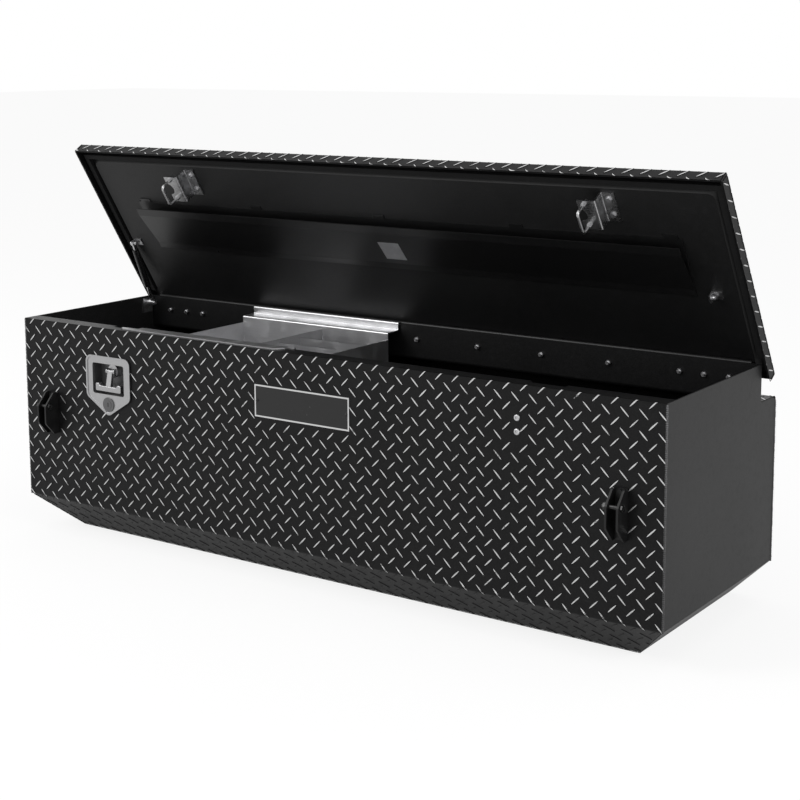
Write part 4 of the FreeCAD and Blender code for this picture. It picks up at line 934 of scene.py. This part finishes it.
class TOOL_BOX_OT_back_tread(bpy.types.Operator):
    """Lay the raised lugs over the back wall and its ledge"""

    bl_idname = "tool_box.back_tread"
    bl_label = "Back tread"

    def execute(self, context):
        sizes = context.scene.tool_box_tread
        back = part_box("back_lower_panel")[1][1]
        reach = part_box("right_end_panel")[1][0]
        corners = [
            (0.0, back, BACK_LOW_Z),
            (0.0, back, LEDGE_Z),
            (0.0, back - LEDGE_RUN, LEDGE_Z),
        ]
        first = (sizes.first_along, HIDDEN_FIRST_LUG)
        piece = lay_tread(
            context,
            "tread_lugs_back",
            corners,
            (LEDGE_BEND,),
            (-reach, reach),
            first,
            "tread_coat",
        )
        trim_to_taper(piece.data, reach)
        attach(piece, "box")
        return {"FINISHED"}


class TOOL_BOX_OT_lid_tread(bpy.types.Operator):
    """Lay the raised lugs over the lid's top and its four folded sides"""

    bl_idname = "tool_box.lid_tread"
    bl_label = "Lid tread"

    def execute(self, context):
        sizes = context.scene.tool_box_tread
        low_z = LID_TOP - LID_FLANGE
        corners = [
            (0.0, LID_BACK, low_z + LID_BACK_GAP),
            (0.0, LID_BACK, LID_TOP),
            (0.0, LID_FRONT, LID_TOP),
            (0.0, LID_FRONT, low_z),
        ]
        half = LID_HALF - LID_END_GAP
        first = (sizes.first_along, sizes.pitch_across * LID_FIRST_ROW)
        top = lay_tread(
            context,
            "tread_lugs_lid",
            corners,
            (LID_BEND, LID_BEND),
            (-half, half),
            first,
            "lid_coat",
        )
        closed_to_open(top.data)
        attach(top, "lid")
        side = [(0.0, -LID_HALF, LID_TOP - LID_BEND), (0.0, -LID_HALF, low_z)]
        span = (LID_FRONT + LID_BEND, LID_BACK - LID_BEND)
        first = (HIDDEN_FIRST_LUG, HIDDEN_FIRST_LUG)
        to_right = Matrix.Rotation(math.pi / 2, 4, "Z")
        to_left = Matrix.Translation((0.0, LID_FRONT + LID_BACK, 0.0)) @ Matrix.Rotation(
            -math.pi / 2, 4, "Z"
        )
        sides = {"tread_lugs_lid_right": to_right, "tread_lugs_lid_left": to_left}
        for name, place in sides.items():
            fold = lay_tread(context, name, side, (), span, first, "lid_coat")
            fold.data.transform(place)
            closed_to_open(fold.data)
            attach(fold, "lid")
        return {"FINISHED"}


class TOOL_BOX_OT_welds(bpy.types.Operator):
    """Run weld beads along the corners of the end panels"""

    bl_idname = "tool_box.welds"
    bl_label = "Weld beads"

    def execute(self, context):
        sizes = context.scene.tool_box_weld
        low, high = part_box("front_panel")
        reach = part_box("right_end_panel")[1][0]
        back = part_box("back_lower_panel")[1][1]
        front_y = low[1] + WELD_INSET_Y
        back_y = back - WELD_INSET_Y
        points, edges = [], []
        for side in (-1, 1):
            x = side * (reach - WELD_INSET_X)
            front = [(x, front_y, high[2] - WELD_RIM_GAP), (x, front_y, FOOT_FOLD_Z)]
            rear = [(x, back_y, LEDGE_Z - WELD_LEDGE_GAP), (x, back_y, FOOT_FOLD_Z)]
            for run in (front, rear):
                edges.append((len(points), len(points) + 1))
                points += run
        piece = mesh_object("weld_beads", points, edges)
        values = {
            "Ripple pitch": sizes.ripple_pitch,
            "Bead width": sizes.bead_width,
            "Seed": sizes.seed,
            "Metal": material_named("weld_metal"),
        }
        grow_nodes(piece, bpy.data.node_groups.get("weld_bead") or weld_tree(), values)
        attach(piece, "box")
        return {"FINISHED"}


def area_lamp(name, place, size, power):
    lamp = bpy.data.lights.new(name, "AREA")
    lamp.shape = "DISK"
    lamp.size = size
    lamp.energy = power
    holder = bpy.data.objects.new(name, lamp)
    holder.location = place
    line = Vector(LAMP_TARGET) - Vector(place)
    holder.rotation_euler = line.to_track_quat("-Z", "Y").to_euler()
    bpy.context.scene.collection.objects.link(holder)


def seen_directly(graph, gloss=1.0):
    """1 on camera and transmission rays, and a share of it on glossy rays."""
    path = graph.add("ShaderNodeLightPath", output="Is Camera Ray")
    glossy = path.output("Is Glossy Ray") * gloss
    shine = graph.math("MAXIMUM", glossy, path.output("Is Transmission Ray"))
    return graph.math("MAXIMUM", path, shine)


class TOOL_BOX_OT_stage(bpy.types.Operator):
    """Set up the floor, the soft light and the camera"""

    bl_idname = "tool_box.stage"
    bl_label = "Stage"

    def execute(self, context):
        scene = context.scene
        settings = scene.tool_box_stage
        scene.view_settings.view_transform = "Standard"
        white = tint((1.0, 1.0, 1.0))

        work = bmesh.new()
        bmesh.ops.create_grid(work, x_segments=4, y_segments=4, size=FLOOR_HALF)
        mesh = bpy.data.meshes.new("floor")
        work.to_mesh(mesh)
        work.free()
        mesh.transform(Matrix.Translation((0.0, 0.0, FLOOR_Z)))
        floor = bpy.data.objects.new("floor", mesh)
        scene.collection.objects.link(floor)
        material = bpy.data.materials.new("floor_white")
        graph = empty_graph(material)
        lit = graph.add("ShaderNodeBsdfDiffuse", inputs={"Color": tint((settings.floor_grey,) * 3)})
        glowing = {"Color": white, "Strength": settings.floor_white}
        glow = graph.add("ShaderNodeEmission", inputs=glowing)
        share = seen_directly(graph, gloss=FLOOR_GLOSS) * settings.floor_glow
        both = graph.add("ShaderNodeMixShader", inputs={0: share, 1: lit, 2: glow})
        graph.add("ShaderNodeOutputMaterial", inputs={"Surface": both})
        mesh.materials.append(material)

        world = bpy.data.worlds.new("studio")
        graph = empty_graph(world)
        level = graph.between(
            seen_directly(graph), low=0.0, high=1.0, start=settings.sky_level, end=1.0
        )
        sky = graph.add("ShaderNodeBackground", inputs={"Color": white, "Strength": level})
        graph.add("ShaderNodeOutputWorld", inputs={"Surface": sky})
        scene.world = world

        area_lamp("key_lamp", power=settings.key_power, **KEY_LAMP)
        area_lamp("side_lamp", power=settings.side_power, **SIDE_LAMP)

        camera = bpy.data.cameras.new("camera")
        camera.sensor_width = SENSOR_WIDTH
        camera.lens = settings.lens
        camera.shift_y = settings.shift_up
        camera.clip_end = VIEW_DEPTH
        holder = bpy.data.objects.new("camera", camera)
        turn = (
            Matrix.Rotation(settings.camera_yaw, 4, "Z")
            @ Matrix.Rotation(math.pi / 2 - settings.camera_pitch, 4, "X")
            @ Matrix.Rotation(settings.camera_roll, 4, "Z")
        )
        holder.matrix_world = Matrix.Translation(settings.camera_place) @ turn
        scene.collection.objects.link(holder)
        scene.camera = holder
        return {"FINISHED"}


PIECE_OPERATORS = (
    TOOL_BOX_OT_finishes,
    TOOL_BOX_OT_front_tread,
    TOOL_BOX_OT_back_tread,
    TOOL_BOX_OT_lid_tread,
    TOOL_BOX_OT_welds,
    TOOL_BOX_OT_stage,
)


class TOOL_BOX_PT_panel(bpy.types.Panel):
    bl_label = "Tool box"
    bl_space_type = "VIEW_3D"
    bl_region_type = "UI"
    bl_category = "Tool box"

    def draw(self, context):
        for group in (
            context.scene.tool_box_tread,
            context.scene.tool_box_weld,
            context.scene.tool_box_colours,
            context.scene.tool_box_stage,
        ):
            box = self.layout.box()
            for name in group.__annotations__:
                box.prop(group, name)
        for operator in PIECE_OPERATORS:
            self.layout.operator(operator.bl_idname)


SETTINGS = {
    "tool_box_tread": TreadSizes,
    "tool_box_weld": WeldSizes,
    "tool_box_colours": FinishColours,
    "tool_box_stage": StageSettings,
}
CLASSES = tuple(SETTINGS.values()) + PIECE_OPERATORS + (TOOL_BOX_PT_panel,)


def register():
    for item in CLASSES:
        bpy.utils.register_class(item)
    for name, kind in SETTINGS.items():
        setattr(bpy.types.Scene, name, PointerProperty(type=kind))


def unregister():
    for name in SETTINGS:
        delattr(bpy.types.Scene, name)
    for item in reversed(CLASSES):
        bpy.utils.unregister_class(item)


def main():
    register()
    for operator in PIECE_OPERATORS:
        family, call = operator.bl_idname.split(".")
        getattr(getattr(bpy.ops, family), call)()


if __name__ == "__main__":
    main()
